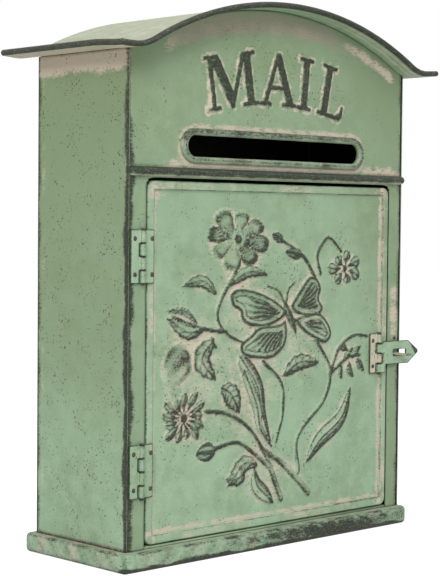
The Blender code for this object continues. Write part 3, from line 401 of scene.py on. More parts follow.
def curve_through(points, steps=10):
    """A smooth curve through points."""
    p = np.array(points, dtype=float)
    p = np.vstack([2 * p[0] - p[1], p, 2 * p[-1] - p[-2]])
    out = []
    for i in range(1, len(p) - 2):
        for t in np.arange(steps) / steps:
            out.append(0.5 * (2 * p[i] + (p[i + 1] - p[i - 1]) * t
                              + (2 * p[i - 1] - 5 * p[i] + 4 * p[i + 1] - p[i + 2]) * t ** 2
                              + (3 * p[i] - p[i - 1] - 3 * p[i + 1] + p[i + 2]) * t ** 3))
    out.append(p[-2])
    return np.array(out)


def follow(curve, u, v):
    """Distance from a curve, share of its length at the nearest point, and the side of it."""
    spans = np.diff(curve, axis=0)
    lengths = np.hypot(*spans.T)
    total = lengths.sum()
    best = np.full(u.shape, 1e9)
    share = np.zeros(u.shape)
    side = np.ones(u.shape)
    passed = 0.0
    for (pu, pv), (du, dv), length in zip(curve, spans, lengths):
        t = np.clip(((u - pu) * du + (v - pv) * dv) / max(length ** 2, 1e-9), 0, 1)
        eu, ev = u - pu - t * du, v - pv - t * dv
        distance = np.hypot(eu, ev)
        nearer = distance < best
        best = np.where(nearer, distance, best)
        share = np.where(nearer, (passed + t * length) / total, share)
        side = np.where(nearer, np.sign(du * ev - dv * eu), side)
        passed += length
    return best, share, side


def leaf_reach(share, width, fullest, roundness):
    """Half the width of a leaf along its length, fullest at a share of it."""
    power = math.log(0.5) / math.log(fullest)
    return width / 2 * np.sin(math.pi * np.clip(share, 0.001, 0.999) ** power) ** roundness


def inside_outline(outline, u, v):
    """Distance inside a closed outline, negative outside it."""
    closed = np.vstack([outline, outline[:1]])
    distance = follow(closed, u, v)[0]
    inside = np.zeros(u.shape, dtype=bool)
    for (au, av), (bu, bv) in zip(closed, closed[1:]):
        crosses = (av > v) != (bv > v)
        with np.errstate(divide="ignore", invalid="ignore"):
            inside ^= crosses & (u < (bu - au) * (v - av) / (bv - av) + au)
    return np.where(inside, distance, -distance)


def soften(values, reach):
    """A blur over reach grid steps each way."""
    for axis in (0, 1):
        for _ in range(2):
            padded = np.concatenate([np.take(values, [0] * (reach + 1), axis), values,
                                     np.take(values, [-1] * reach, axis)], axis)
            running = np.cumsum(padded, axis)
            count = values.shape[axis]
            upper = np.take(running, range(2 * reach + 1, 2 * reach + 1 + count), axis)
            lower = np.take(running, range(0, count), axis)
            values = (upper - lower) / (2 * reach + 1)
    return values


# The pressed spray on the door, on a field of plus and minus 100

STEMS = [
    [(-32, 58), (-36, 50), (-47, 34), (-49, 24), (-42, 15), (-29, 9)],
    [(-42, 16), (-62, 19), (-86, 27)],
    [(41, 50), (38, 62), (48, 73), (61, 64)],
    [(36, 48), (24, 62), (2, 73)],
    [(-58, -31), (-40, -34), (-22, -44), (-8, -61), (7, -91)],
    [(-50, -54), (-32, -52), (-16, -61), (-5, -69)],
    [(-10, -4), (6, -18), (8, -36), (2, -55)],
    [(-10, -58), (4, -66), (18, -77), (32, -90)],
    [(37, 8), (51, -12), (46, -31), (22, -53), (22, -75)],
    [(51, -15), (60, 2), (74, 9), (88, 8)],
    [(51, -15), (68, -5), (80, -4)],
    [(-54, 12), (-53, 9), (-50, 7)],
]
LEAVES = [
    ((-40, 44), (-24, 52), (-6, 50), 8, 0.2), ((-50, 39), (-62, 47), (-78, 44), 8, 0.1),
    ((-60, 18), (-74, 17), (-90, 26), 9, 0.35), ((-66, 22), (-76, 29), (-90, 30), 5, 0.3),
    ((-52, 12), (-62, 0), (-50, -13), 14, 0.6), ((-46, -18), (-38, -22), (-30, -34), 15, 0.8),
    ((-28, -66), (-30, -74), (-41, -74), 10, 0.3), ((-14, -68), (-26, -66), (-40, -79), 11, 0.4),
    ((8, -14), (22, -6), (41, -7), 11, 0.6), ((62, -10), (61, -15), (63, -19), 5, 0.5),
    ((69, -8), (70, -14), (74, -18), 6, 0.5), ((77, -6), (80, -11), (84, -15), 6, 0.5),
    ((64, -8), (68, -3), (73, 1), 5, 0.3), ((72, -6), (76, -1), (81, 2), 5, 0.3),
]
BLADES = [
    ((-30, 0), (-16, -18), (-11, -36), (-3, -54), 12, 0.28),
    ((-27, -8), (-16, -30), (-12, -46), (-1, -58), 8, 0.3),
    ((30, -70), (42, -57), (62, -44), (71, -25), 12, 0.45),
    ((-17, -70), (-15, -80), (-6, -88), (0, -93), 11, 0.5),
]
BUDS = [((24, 62), (16, 60), (9, 64), 7), ((7, 71), (2, 73), (-3, 75), 6), ((60, 3), (64, 1), (68, 0), 5),
        ((-50, -55), (-58, -58), (-66, -57), 11), ((-74, 8), (-84, 0), (-90, -14), 23)]
WINGS = [
    [(11, 27), (0, 34), (-16, 40), (-32, 42), (-39, 38), (-37, 31), (-31, 28), (-29, 22), (-20, 18), (-6, 18),
     (6, 22)],
    [(10, 22), (2, 19), (-14, 18), (-22, 13), (-30, 8), (-28, 1), (-16, -2), (-2, -2), (8, 4), (11, 12)],
    [(13, 30), (20, 38), (30, 48), (38, 47), (42, 40), (40, 34), (44, 28), (40, 24), (28, 23), (18, 25)],
    [(16, 22), (26, 24), (40, 25), (49, 18), (52, 10), (46, 5), (36, 8), (24, 14)],
]
WING_ROOT = (12, 24)
FEELERS = [[(9, 32), (3, 40), (-7, 43)], [(10, 32), (12, 40), (18, 45)]]
BODY = [(8, 33), (13, 24), (20, 12)]
DAISIES = [((-76, -34), 20, 17, 13, 8, 1.0), ((64, 53), 16, 13, 7, 6, 0.4)]


class Relief:
    """Height, rub with painted shade, and wash of a pressed sheet, over a grid of points."""

    def __init__(self, u, v):
        self.u, self.v = u, v
        self.height = np.zeros(u.shape)
        self.rub = np.zeros(u.shape)

    def window(self, points, reach):
        points = np.asarray(points, dtype=float)
        low, high = points.min(0) - reach, points.max(0) + reach
        columns = np.nonzero((self.u[0] > low[0]) & (self.u[0] < high[0]))[0]
        rows = np.nonzero((self.v[:, 0] > low[1]) & (self.v[:, 0] < high[1]))[0]
        area = (slice(rows[0], rows[-1] + 1), slice(columns[0], columns[-1] + 1))
        return area, self.u[area], self.v[area]

    def press(self, area, height, rub):
        higher = height > self.height[area]
        self.rub[area] = np.where(higher, rub, self.rub[area])
        self.height[area] = np.maximum(self.height[area], height)

    def along(self, points, reach):
        """A window round a curve, and there the distance from it, the share along it and the side of it.

        The side is 1 where it faces down or right, where the forms get painted shade.
        """
        curve = curve_through(points)
        area, u, v = self.window(curve, reach)
        distance, share, side = follow(curve, u, v)
        (au, av), (bu, bv) = points[0], points[-1]
        return area, distance, share, side if au + av > bu + bv else -side

    def stem(self, points, width=1.5, height=1.5):
        area, distance, share, shade_side = self.along(points, 4)
        stout = smooth(-self.v[area], 50, 78) * (width > 1.3)
        reach = width * (1.0 - 0.35 * share + 0.8 * stout)
        rise = np.sqrt(np.clip(1 - (distance / reach) ** 2, 0, 1)) * height
        toward_shade = shade_side * distance / reach
        # Painted shade: the stem darkens toward its lower or right side.
        rub = 0.45 + 0.15 * np.sin(share * 23) + 0.6 * smooth(toward_shade, -0.4, 0.8)
        self.press(area, rise, rub - 0.6 * stout * smooth(np.abs(toward_shade + 0.1), 0.9, 0.4))

    def leaf(self, points, width, dark, fullest=0.45, height=1.8, veins=6):
        area, distance, share, shade_side = self.along(points, width)
        notch = 1 + 0.08 * np.sin(share * veins * 2 * math.pi)
        reach = np.maximum(leaf_reach(share, width, fullest, 0.8) * notch, 0.3)
        s = distance / reach
        shell = np.sqrt(np.clip(1 - s ** 4, 0, 1))
        rim = bell(s, 0.82, 0.17)
        # Painted shade: the leaf darkens toward its lower or right side.
        toward_shade = smooth(shade_side * s, -0.15, 0.95)
        rib = bell(distance, 0, 0.9)
        line = 0.5 + 0.5 * np.cos((share * veins - s * 0.9) * 2 * math.pi)
        vein = line ** 4 * bell(s, 0.4, 0.3)
        rise = height * shell * (0.42 + 0.5 * rim + 0.38 * rib + 0.2 * vein)
        rub = most(rim * (0.8 + 0.4 * toward_shade), rib * (0.5 + dark * 0.5), vein * (0.35 + 0.7 * dark))
        rub = np.maximum(rub, dark * (0.4 + 0.6 * toward_shade) * (0.55 + 0.6 * line))
        self.press(area, rise, rub)

    def blade(self, points, width, fullest):
        area, distance, share, shade_side = self.along(points, width)
        reach = np.maximum(leaf_reach(share, width, fullest, 0.7), 0.3)
        s = distance / reach
        shell = np.sqrt(np.clip(1 - s ** 4, 0, 1))
        rim = bell(s, 0.85, 0.14)
        fold = bell(distance, 0, 0.7)
        rise = 2.0 * shell * (0.5 + 0.4 * rim + 0.35 * fold)
        grooves = 0.5 + 0.5 * np.cos(distance * 2.4)
        # Painted shade: the blade darkens toward its lower or right side.
        toward_shade = smooth(shade_side * s, -0.3, 0.8)
        rub = most(rim * (0.7 + 0.5 * toward_shade), fold * 0.9, toward_shade * (0.4 + 0.6 * grooves))
        self.press(area, rise, rub)

    def bud(self, points, width):
        """A plump closed bud between two ends."""
        ends = np.array([points[0], points[-1]], dtype=float)
        area, u, v = self.window(ends, width)
        middle, half = ends.mean(0), (ends[1] - ends[0]) / 2
        length = np.hypot(*half)
        along = ((u - middle[0]) * half[0] + (v - middle[1]) * half[1]) / length ** 2
        across = ((v - middle[1]) * half[0] - (u - middle[0]) * half[1]) / length
        taper = width / 2 * (1 - 0.25 * along)
        s = np.hypot(along, across / taper)
        lines = 0.5 + 0.5 * np.cos(across / taper * 7 + along * 1.5)
        rise = 1.7 * np.sqrt(np.clip(1 - s ** 2.4, 0, 1)) * (0.75 + 0.25 * lines)
        rough = 0.5 + 0.5 * np.sin(u * 1.9 + 2 * np.sin(v * 0.9)) * np.sin(v * 1.7 + 2 * np.sin(u * 0.7))
        plump = smooth(width, 20, 10)
        worn = 0.25 + 0.75 * lines + 0.55 * smooth(s, 0.6, 0.95)
        loose = (0.4 + 0.9 * rough * lines) * (1 - smooth(s, 0.8, 1.0))
        loose = loose * smooth(along + across / width, 0.9, -0.4)
        self.press(area, rise * (0.55 + 0.45 * plump), plump * worn + (1 - plump) * loose)

    def flower(self, centre, reach_u, reach_v, count, turn, dark):
        """A ruffled flower with broad petals: dark says how rubbed each petal is."""
        area, u, v = self.window([centre], reach_u * 1.3)
        a = (u - centre[0]) / reach_u
        b = (v - centre[1]) / reach_v
        angle = np.arctan2(b, a) + turn
        sector = angle / (2 * math.pi / count)
        within = sector - np.round(sector)
        petal = np.round(sector).astype(int) % count
        radius = np.hypot(a, b)
        edge = 1 - 0.3 * np.abs(2 * within) ** 4 + 0.022 * np.cos(within * 11 * math.pi) - 0.07 * (petal % 3)
        s = radius / edge
        shell = np.sqrt(np.clip(1 - s ** 5, 0, 1))
        rim = bell(s, 0.87, 0.1)
        split = np.exp(-((np.abs(within) - 0.5) * radius * 13) ** 2) * smooth(radius, 0.15, 0.4)
        rays = (0.5 + 0.5 * np.cos(within * 14 * math.pi)) * smooth(s, 0.95, 0.35) * smooth(radius, 0.12, 0.3)
        rise = 1.9 * shell * (0.58 + 0.34 * rim + 0.26 * rays - 0.55 * split)
        tone = np.array(dark)[petal]
        rub = tone * (0.2 + 0.95 * rays) + (0.35 + 0.4 * tone) * rim + 0.5 * split * tone
        self.press(area, rise, rub)
        self.button(centre, reach_v * 0.17)

    def daisy(self, centre, reach_u, reach_v, count, button, turn):
        """Narrow petals, each its own ridge, round a button."""
        for i in range(count):
            a = turn + 2 * math.pi * i / count
            shrink = 1 - 0.12 * (i % 3)
            reach = np.array([reach_u * math.cos(a), reach_v * math.sin(a)])
            tip, root = centre + reach * shrink, centre + reach * 0.2
            middle = (root + tip) / 2 + (-0.8 * math.sin(a), 0.8 * math.cos(a))
            self.leaf([root, middle, tip], reach_v * 4.8 / count, 0.3, 0.7, 1.7, 1)
        area, u, v = self.window([centre], reach_u)
        far = np.hypot((u - centre[0]) / reach_u, (v - centre[1]) / reach_v)
        self.rub[area] += 0.8 * bell(far, 0.3, 0.13)
        self.button(centre, button * 0.36)

    def button(self, centre, radius):
        area, u, v = self.window([centre], radius * 2)
        distance = np.hypot(u - centre[0], v - centre[1]) / radius
        rise = 2.0 * np.sqrt(np.clip(1 - distance ** 2.5, 0, 1))
        self.press(area, rise, 0.95 - 0.4 * bell(distance, 0, 0.4))

    def wing(self, outline):
        outline = curve_through(outline + outline[:1], 6)[:-1]
        area, u, v = self.window(outline, 3)
        depth = inside_outline(outline, u, v)
        au, av = u - WING_ROOT[0], v - WING_ROOT[1]
        far = np.hypot(au, av)
        rays = 0.5 + 0.5 * np.cos(np.arctan2(av, au) * 58 + 0.9 * np.sin(far * 0.35))
        shell = np.sqrt(smooth(depth, 0, 1.6))
        rim = bell(depth, 1.3, 0.8)
        inner = bell(depth, 4.6, 0.6) * smooth(far, 12, 20)
        reach = smooth(far, 52, 14)
        vein = (0.42 + 0.8 * rays) * reach * smooth(depth, 4.0, 5.5) + 0.5 * rays * reach
        edging = 0.35 * smooth(depth, 6.5, 4.5) * smooth(av, 6, 14)
        rise = shell * (1.35 + 0.6 * rim + 0.3 * inner + 0.3 * vein)
        rub = most(rim * 1.1, inner, vein, edging)
        self.press(area, rise * (depth > 0), rub)

    def spray(self):
        for points in STEMS:
            self.stem(points)
        for a, b, c, width, dark in LEAVES:
            self.leaf([a, b, c], width, dark)
        for a, b, c, d, width, fullest in BLADES:
            self.blade([a, b, c, d], width, fullest)
        for a, b, c, width in BUDS:
            self.bud([a, b, c], width)
        self.flower((-33, 72), 28, 20, 8, 0.2, (0.95, 0.5, 0.35, 0.6, 0.9, 0.15, 0.2, 0.9))
        for centre, reach_u, reach_v, count, button, turn in DAISIES:
            self.daisy(centre, reach_u, reach_v, count, button, turn)
        for outline in WINGS:
            self.wing(outline)
        for points in FEELERS:
            self.stem(points, 1.2, 0.8)
        self.bud(BODY, 5.5)


def rounded_place(x, z, half_x, half_z, corner):
    """Moves points of a rectangle's corner squares on to its rounded corners."""
    a = np.clip((np.abs(x) - half_x + corner) / corner, 0, 1)
    b = np.clip((np.abs(z) - half_z + corner) / corner, 0, 1)
    moved_x = half_x - corner + corner * a * np.sqrt(1 - b * b / 2)
    moved_z = half_z - corner + corner * b * np.sqrt(1 - a * a / 2)
    both = (a > 0) & (b > 0)
    return np.where(both, np.sign(x) * moved_x, x), np.where(both, np.sign(z) * moved_z, z)


def inset_of(x, z, half_x, half_z, corner):
    """Distance inside a rounded rectangle."""
    qx, qz = np.abs(x) - half_x + corner, np.abs(z) - half_z + corner
    return corner - np.hypot(np.maximum(qx, 0), np.maximum(qz, 0)) - np.minimum(np.maximum(qx, qz), 0)


def door_lines(half, step):
    """Places of the grid lines across the door, close together at its edge and step."""
    near = np.array([0, 0.05, 0.18, 0.4, 0.7, 1.0, 1.7, 3.0, 4.3, 5.0, 5.25, 5.5, 5.75, 6.0, 6.25, 7.0])
    inner = 2 * (half - near[-1])
    count = int(inner / step) // 2 * 2
    middle = np.linspace(-half + near[-1], half - near[-1], count + 1)
    return np.concatenate([-half + near[:-1], middle, half - near[:-1][::-1]])


def loop_of(rows, columns):
    """Numbers of the points round the border of a grid, in order."""
    top = [(0, j) for j in range(columns - 1)]
    right = [(i, columns - 1) for i in range(rows - 1)]
    bottom = [(rows - 1, j) for j in range(columns - 1, 0, -1)]
    left = [(i, 0) for i in range(rows - 1, 0, -1)]
    return [i * columns + j for i, j in top + right + bottom + left]


def door_rub_and_shade(x, z, inset, relief, covered, height):
    """Where the door is rubbed to the metal, on ridges and the border's edge and fold, with painted shade on
    the pressed forms' lower right slopes and a painted shadow just below and right of them.
    """
    pressed, near = soften(relief.height, 1), soften(covered, 2)
    # Painted shade on the slopes that face down and right, and a painted shadow on the sheet just beyond the
    # forms' lower right edges.
    shaded = np.clip(-np.gradient(pressed, axis=1) * 1.3 + np.gradient(pressed, axis=0) * 0.8, 0, 1)
    cast_shadow = np.clip(-np.gradient(near, axis=1) * 6 + np.gradient(near, axis=0) * 4, 0, 1)
    ridge = np.clip(height - soften(height, 3), 0, 1)
    tone = soften(relief.rub, 1) * 0.2 + relief.rub * 0.58
    rub = covered * (tone + 0.45 * ridge + 0.75 * shaded)
    rub = rub + 0.9 * np.clip(near - 0.5 * covered, 0, 1) * cast_shadow
    edge = 0.62 * band(inset, 1.3) * (0.75 + waver(x - z, 60, 5, 0.35))
    fold = 0.58 * bell(inset, 5.3, 0.5) * (0.8 + waver(x + z, 50, 6, 0.3))
    hasp_side = 0.5 * bell(inset, 5.6, 0.8) * (x > 60) * (0.8 + waver(z, 44, 19, 0.4))
    return most(rub, edge, fold, hasp_side)


def door_wash(x, z, inset, relief, covered, groove):
    """Where pale wash has stayed: round and in the spray, along the border's fold and by the hasp."""
    half_x, half_z = DOOR_HALF
    halo = np.clip(soften(covered, 6) * 1.5 - 0.12, 0, 1) * (1 - 0.75 * covered) + 0.55 * groove
    hollow = covered * np.clip(0.9 - relief.rub, 0, 1) * 0.4
    busy = smooth(soften(covered, 16), 0.12, 0.4)
    middle = busy * 0.36 * smooth(relief.v, 60, 20) * smooth(relief.u, 75, 45)
    left = 0.85 * bell(x, 6.5 - half_x, 1.6) * (0.8 + waver(z, 40, 7, 0.3))
    right = 0.9 * bell(x, half_x - 6.8, 2.6) * (0.85 + waver(z, 46, 8, 0.35))
    low = 0.85 * bell(z, 7.0 - half_z, 2.4) * (0.8 + waver(x, 50, 9, 0.35))
    corner = 0.8 * band(np.hypot(x + half_x - 7, z - half_z + 6), 13)
    by_hasp = 0.9 * band(np.hypot((x - 101) / 9, (z + DOOR_Z - HASP_Z) / 20), 1.0)
    border = 0.42 * ((inset < 5.2) & (inset > 0.9)) * (0.7 + waver(x + z, 90, 10, 0.6))
    return most(halo * 0.85, hollow, middle, left, right, low, corner, by_hasp, border)


def make_door():
    half_x, half_z = DOOR_HALF
    x, z = np.meshgrid(door_lines(half_x, DOOR_GRID), door_lines(half_z, DOOR_GRID))
    x, z = rounded_place(x, z, half_x, half_z, DOOR_CORNER)
    inset = inset_of(x, z, half_x, half_z, DOOR_CORNER)
    edge = DOOR_EDGE * (1 - np.sqrt(np.clip(1 - (1 - np.clip(inset / DOOR_EDGE, 0, 1)) ** 2, 0, 1)))
    step = smooth(inset, DOOR_BORDER, DOOR_BORDER + DOOR_STEP) * FIELD_DROP
    sag = 0.12 * waver(x, 160, 3) * waver(z, 140, 4) * smooth(inset, 4, 30)
    plain = FRONT_Y + edge + step + sag
    relief = Relief(x / FIELD_SCALE[0], z / FIELD_SCALE[1])
    relief.spray()
    covered = smooth(relief.height, 0.05, 0.5)
    groove = np.clip(soften(covered, 2) - covered, 0, 1) * 0.5
    height = soften(relief.height, 1) * 0.45 + relief.height * 0.55
    under_hasp = (np.abs(z + DOOR_Z - HASP_Z) < 16) & (x > 92)
    height = np.where(under_hasp, height * smooth(x, 93, 91), height)
    crowd = soften(covered, 16) * 1.6 + 0.8 * band(np.hypot(relief.u - 2, relief.v - 58) / 26, 1.0)
    marks = {"rub": door_rub_and_shade(x, z, inset, relief, covered, height),
             "wash": door_wash(x, z, inset, relief, covered, groove),
             "speckle": np.clip(crowd, 0, 1),
             # Painted shade: the door darkens toward its top and its right.
             "olive": 0.35 * smooth(x, 50, 112) * smooth(z, -60, 30) + 0.25 * smooth(z, 0, 110)}

    front = grid_points(x + DOOR_X, plain - height + groove, z + DOOR_Z)
    points, faces, start = [front], grid_faces(*x.shape), len(front)
    shrink = np.array([1 - SHEET / half_x, 1, 1 - SHEET / half_z])
    centre = np.array([DOOR_X, 0, DOOR_Z])
    previous = loop_of(*x.shape)
    count = len(previous)
    outer = front[previous] * (1, 0, 1)
    inner = (outer - centre) * shrink + centre
    for ring, level in ((outer, DOOR_RETURN), (inner, DOOR_RETURN), (inner, DOOR_EDGE + SHEET + 0.5)):
        points.append(ring + (0, FRONT_Y + level, 0))
        numbers = list(range(start, start + count))
        faces += [(previous[i - 1], previous[i], numbers[i], numbers[i - 1]) for i in range(count)]
        previous, start = numbers, start + count
    marks["rub"] = np.append(marks["rub"], np.full(3 * count, 0.3))

    half = (slice(None, None, 2), slice(None, None, 2))
    points.append(grid_points(x[half], (plain + SHEET - 0.6 * height)[half], z[half]) * shrink + centre)
    faces += [tuple(reversed(face)) for face in grid_faces(*x[half].shape, start)]
    border = [start + k for k in loop_of(*x[half].shape)]
    for k, (a, b) in enumerate(zip(border, border[1:] + border[:1])):
        r0, r1, r2 = (previous[(2 * k + step) % count] for step in range(3))
        faces += [(a, r0, r1), (a, r1, b), (b, r1, r2)]
    points = np.vstack(points)
    add_piece("pressed_door", points, faces, marks, sage_finish, "door", "sage_paint", "door_panel")


# The front

LETTERS = {
    "M": [(0, 0), (0.36, 0), (0.36, 0.07), (0.24, 0.09), (0.24, 0.78), (0.60, 0), (0.68, 0),
          (1.02, 0.80), (1.02, 0.09), (0.90, 0.07), (0.90, 0), (1.34, 0), (1.34, 0.07),
          (1.22, 0.09), (1.22, 0.91), (1.34, 0.93), (1.34, 1), (0.98, 1), (0.70, 0.30),
          (0.40, 1), (0.02, 1), (0.02, 0.93), (0.12, 0.91), (0.12, 0.09), (0, 0.07)],
    "A": [(0, 0), (0.32, 0), (0.32, 0.07), (0.22, 0.09), (0.30, 0.30), (0.62, 0.30),
          (0.69, 0.09), (0.58, 0.07), (0.58, 0), (0.98, 0), (0.98, 0.07), (0.90, 0.09),
          (0.56, 1), (0.44, 1), (0.10, 0.09), (0, 0.07)],
    "I": [(0, 0), (0.40, 0), (0.40, 0.07), (0.29, 0.09), (0.29, 0.91), (0.40, 0.93), (0.40, 1),
          (0, 1), (0, 0.93), (0.11, 0.91), (0.11, 0.09), (0, 0.07)],
    "L": [(0, 0), (0.66, 0), (0.72, 0.10), (0.73, 0.30), (0.66, 0.31), (0.62, 0.16), (0.52, 0.10),
          (0.29, 0.09), (0.29, 0.91), (0.42, 0.93), (0.42, 1), (0, 1), (0, 0.93), (0.11, 0.91),
          (0.11, 0.09), (0, 0.07)],
}
A_COUNTER = [(0.335, 0.39), (0.585, 0.39), (0.455, 0.76)]
LETTER_PLACES = {"M": (-1.14, 1.34), "A": (0.01, 0.98), "I": (0.70, 0.40), "L": (1.41, 0.70)}


def on_arch(letter, points):
    """Letter points turned to their place on the arched baseline."""
    place, width = LETTER_PLACES[letter]
    middle = place * LETTER_HEIGHT / CROWN_RADIUS
    p = np.array(points, dtype=float)
    across = (p[:, 0] - width / 2) * LETTER_HEIGHT
    up = CROWN_RADIUS + p[:, 1] * LETTER_HEIGHT
    return np.stack([across * math.cos(middle) + up * math.sin(middle),
                     BASELINE_Z - CROWN_RADIUS - across * math.sin(middle) + up * math.cos(middle)], -1)


def roof_height(x, offset=0.0):
    """Height at x of the rim's centre line, moved along its normal by offset."""
    x = np.abs(np.asarray(x, dtype=float))
    crown, eave = CROWN_RADIUS + offset, EAVE_RADIUS - offset
    on_crown = CROWN_CENTRE_Z + np.sqrt(np.maximum(crown ** 2 - x ** 2, 0))
    on_turn = EAVE_CENTRE_Z - np.sqrt(np.maximum(eave ** 2 - (x - EAVE_LOW_X) ** 2, 0))
    turn_end = EAVE_LOW_X + eave * math.sin(EAVE_RISE)
    on_eave = EAVE_CENTRE_Z - eave * math.cos(EAVE_RISE) + (x - turn_end) * math.tan(EAVE_RISE)
    height = np.where(x <= crown * math.sin(CROWN_SLOPE), on_crown, on_turn)
    return np.where(x > turn_end, on_eave, height)


def wall_top(x):
    return roof_height(x, -RIM_RADIUS - JOIN_GAP)


def slot_distance(x, z):
    """Distance outside the letter slot's edge."""
    return np.hypot(np.maximum(np.abs(x) - SLOT_STRAIGHT, 0), z - SLOT_Z) - SLOT_RADIUS


def slot_hole(x, z):
    """Distance outside the hole that is cut for the slot, under the middle of its lip."""
    return slot_distance(x, z) - LIP_WIDTH / 2


def doorway_distance(x, z):
    left, right, low, high = OPENING
    deep = 60.0
    return -inset_of(x - (left + right) / 2, z - (low - deep + high) / 2,
                     (right - left) / 2, (high - low + deep) / 2, OPENING_CORNER)


def slot_ring():
    """The raised lip round the slot, a closed ring of its own."""
    section = [(0.0, 1.1), (0.0, -0.9), (0.06, -1.6), (0.16, -2.15), (0.3, -2.5), (0.45, -2.6), (0.6, -2.5),
               (0.76, -2.1), (0.88, -1.5), (0.96, -0.8), (1.0, -0.2), (1.0, 0.5), (0.5, 1.1)]
    around = []
    for side in (1, -1):
        quarter = side * math.pi / 2
        around += [(side, math.cos(a), math.sin(a)) for a in np.linspace(-quarter, math.pi - quarter, 27)]
        around += [(side * share, 0, side) for share in np.linspace(1, -1, 47)[1:-1]]
    place, ca, sa = (column[:, None] for column in np.array(around).T)
    across, level = np.array(section).T
    radius = SLOT_RADIUS + across * LIP_WIDTH
    x = place * SLOT_STRAIGHT + radius * ca + across * SLOT_LIP_END * np.sign(place) * np.abs(ca)
    top = 0.62 * smooth(across, 0.1, 0.4) * smooth(sa, -0.2, 0.5)
    right = 0.6 * smooth(x, 60, 84) * smooth(across, 0.2, 0.6)
    crest = 0.34 + 0.25 * bell(across, 0.42, 0.16)
    marks = {"rub": most(top, right, crest) + waver(x, 45, 11, 0.12), "wash": 0.35, "speckle": 0.3}
    rows, columns = x.shape
    last = (rows - 1) * columns
    faces = grid_faces(rows, columns, closed=True)
    for j in range(columns):
        k = (j + 1) % columns
        faces.append((last + j, last + k, k, j))
    return grid_points(x, FRONT_Y + level, SLOT_Z + radius * sa), faces, marks


def front_columns():
    """Lines across the front and its flanges: x, depth, and the way from each to the sheet's back."""
    edge = PANEL_HALF - PANEL_BEND * (1 - np.array([0.0, 0.35, 0.65, 0.88, 1.0]))
    left = np.concatenate([np.linspace(86, 111.6, 11), [-OPENING[0]], np.linspace(114.8, 124.0, 8)])
    right = np.concatenate([np.linspace(88, 113.4, 11), [OPENING[1]], np.linspace(116.6, 124.0, 7)])
    x = np.concatenate([-edge[::-1], -left[::-1], np.linspace(-84, 86, 230), right, edge])
    turned = np.clip((np.abs(x) - PANEL_HALF + PANEL_BEND) / PANEL_BEND, 0, 1)
    level = np.sqrt(1 - turned ** 2)
    flange = np.array([FLANGE, 7, 4])
    depth = np.concatenate([flange, PANEL_BEND * (1 - level), flange[::-1]])
    back_x = np.concatenate([[1.0] * 3, -np.sign(x) * turned, [-1.0] * 3])
    back_y = np.concatenate([[0.0] * 3, level, [0.0] * 3])
    return np.concatenate([[x[0]] * 3, x, [x[-1]] * 3]), depth, back_x, back_y


def front_rows():
    """Heights of the lines up the front, closest together over the slot and the letters."""
    low, high = OPENING[2:]
    return np.concatenate([[FLOOR_Z, low], np.linspace(16, 228, 90), np.linspace(230.5, high - 1, 10), [high],
                           np.linspace(high + 1.2, high + 7, 6), np.linspace(high + 8, 275, 28),
                           np.linspace(275.8, 332, 76), np.linspace(333.5, TOTAL_HEIGHT, 14)])


def cut_neatly(x, z, keep, distance):
    """Moves the points on the border of the kept cells on to a hole's edge."""
    for _ in range(3):
        off = distance(x, z)
        slope_x = distance(x + 0.01, z) - distance(x - 0.01, z)
        slope_z = distance(x, z + 0.01) - distance(x, z - 0.01)
        size = np.maximum(np.hypot(slope_x, slope_z), 1e-6)
        touching = (np.abs(off) < 0.75) & border_points(keep)
        x = np.where(touching, x - off * slope_x / size, x)
        z = np.where(touching, z - off * slope_z / size, z)
    return x, z


def pressed_letters(x, z):
    """Height, rub and wash of the letters, whose outlines wander a little."""
    wx = x + waver(z + 0.3 * x, 9, 61, 0.35)
    wz = z + waver(x - 0.2 * z, 8, 62, 0.4)
    depth = np.full(x.shape, -99.0)
    for letter, outline in LETTERS.items():
        here = inside_outline(on_arch(letter, outline), wx, wz)
        if letter == "A":
            here = np.minimum(here, -inside_outline(on_arch(letter, A_COUNTER), wx, wz))
        depth = np.maximum(depth, here)
    green_stem = band(np.abs(wx + 62) / 6, 1.0) * smooth(wz, 305, 295)
    height = LETTER_RELIEF * np.sqrt(smooth(depth, -0.5, 1.3)) - 0.25 * bell(depth, -1.1, 0.7)
    rub = smooth(depth, -0.4, 0.8) * (1.0 + waver(wx + wz * 0.4, 34, 12, 0.25)) * (1 - 0.6 * green_stem)
    wash = bell(depth, -0.9, 1.4) * (0.56 + waver(wx - wz, 19, 13, 0.4)) + 0.3 * green_stem
    return height, rub, wash


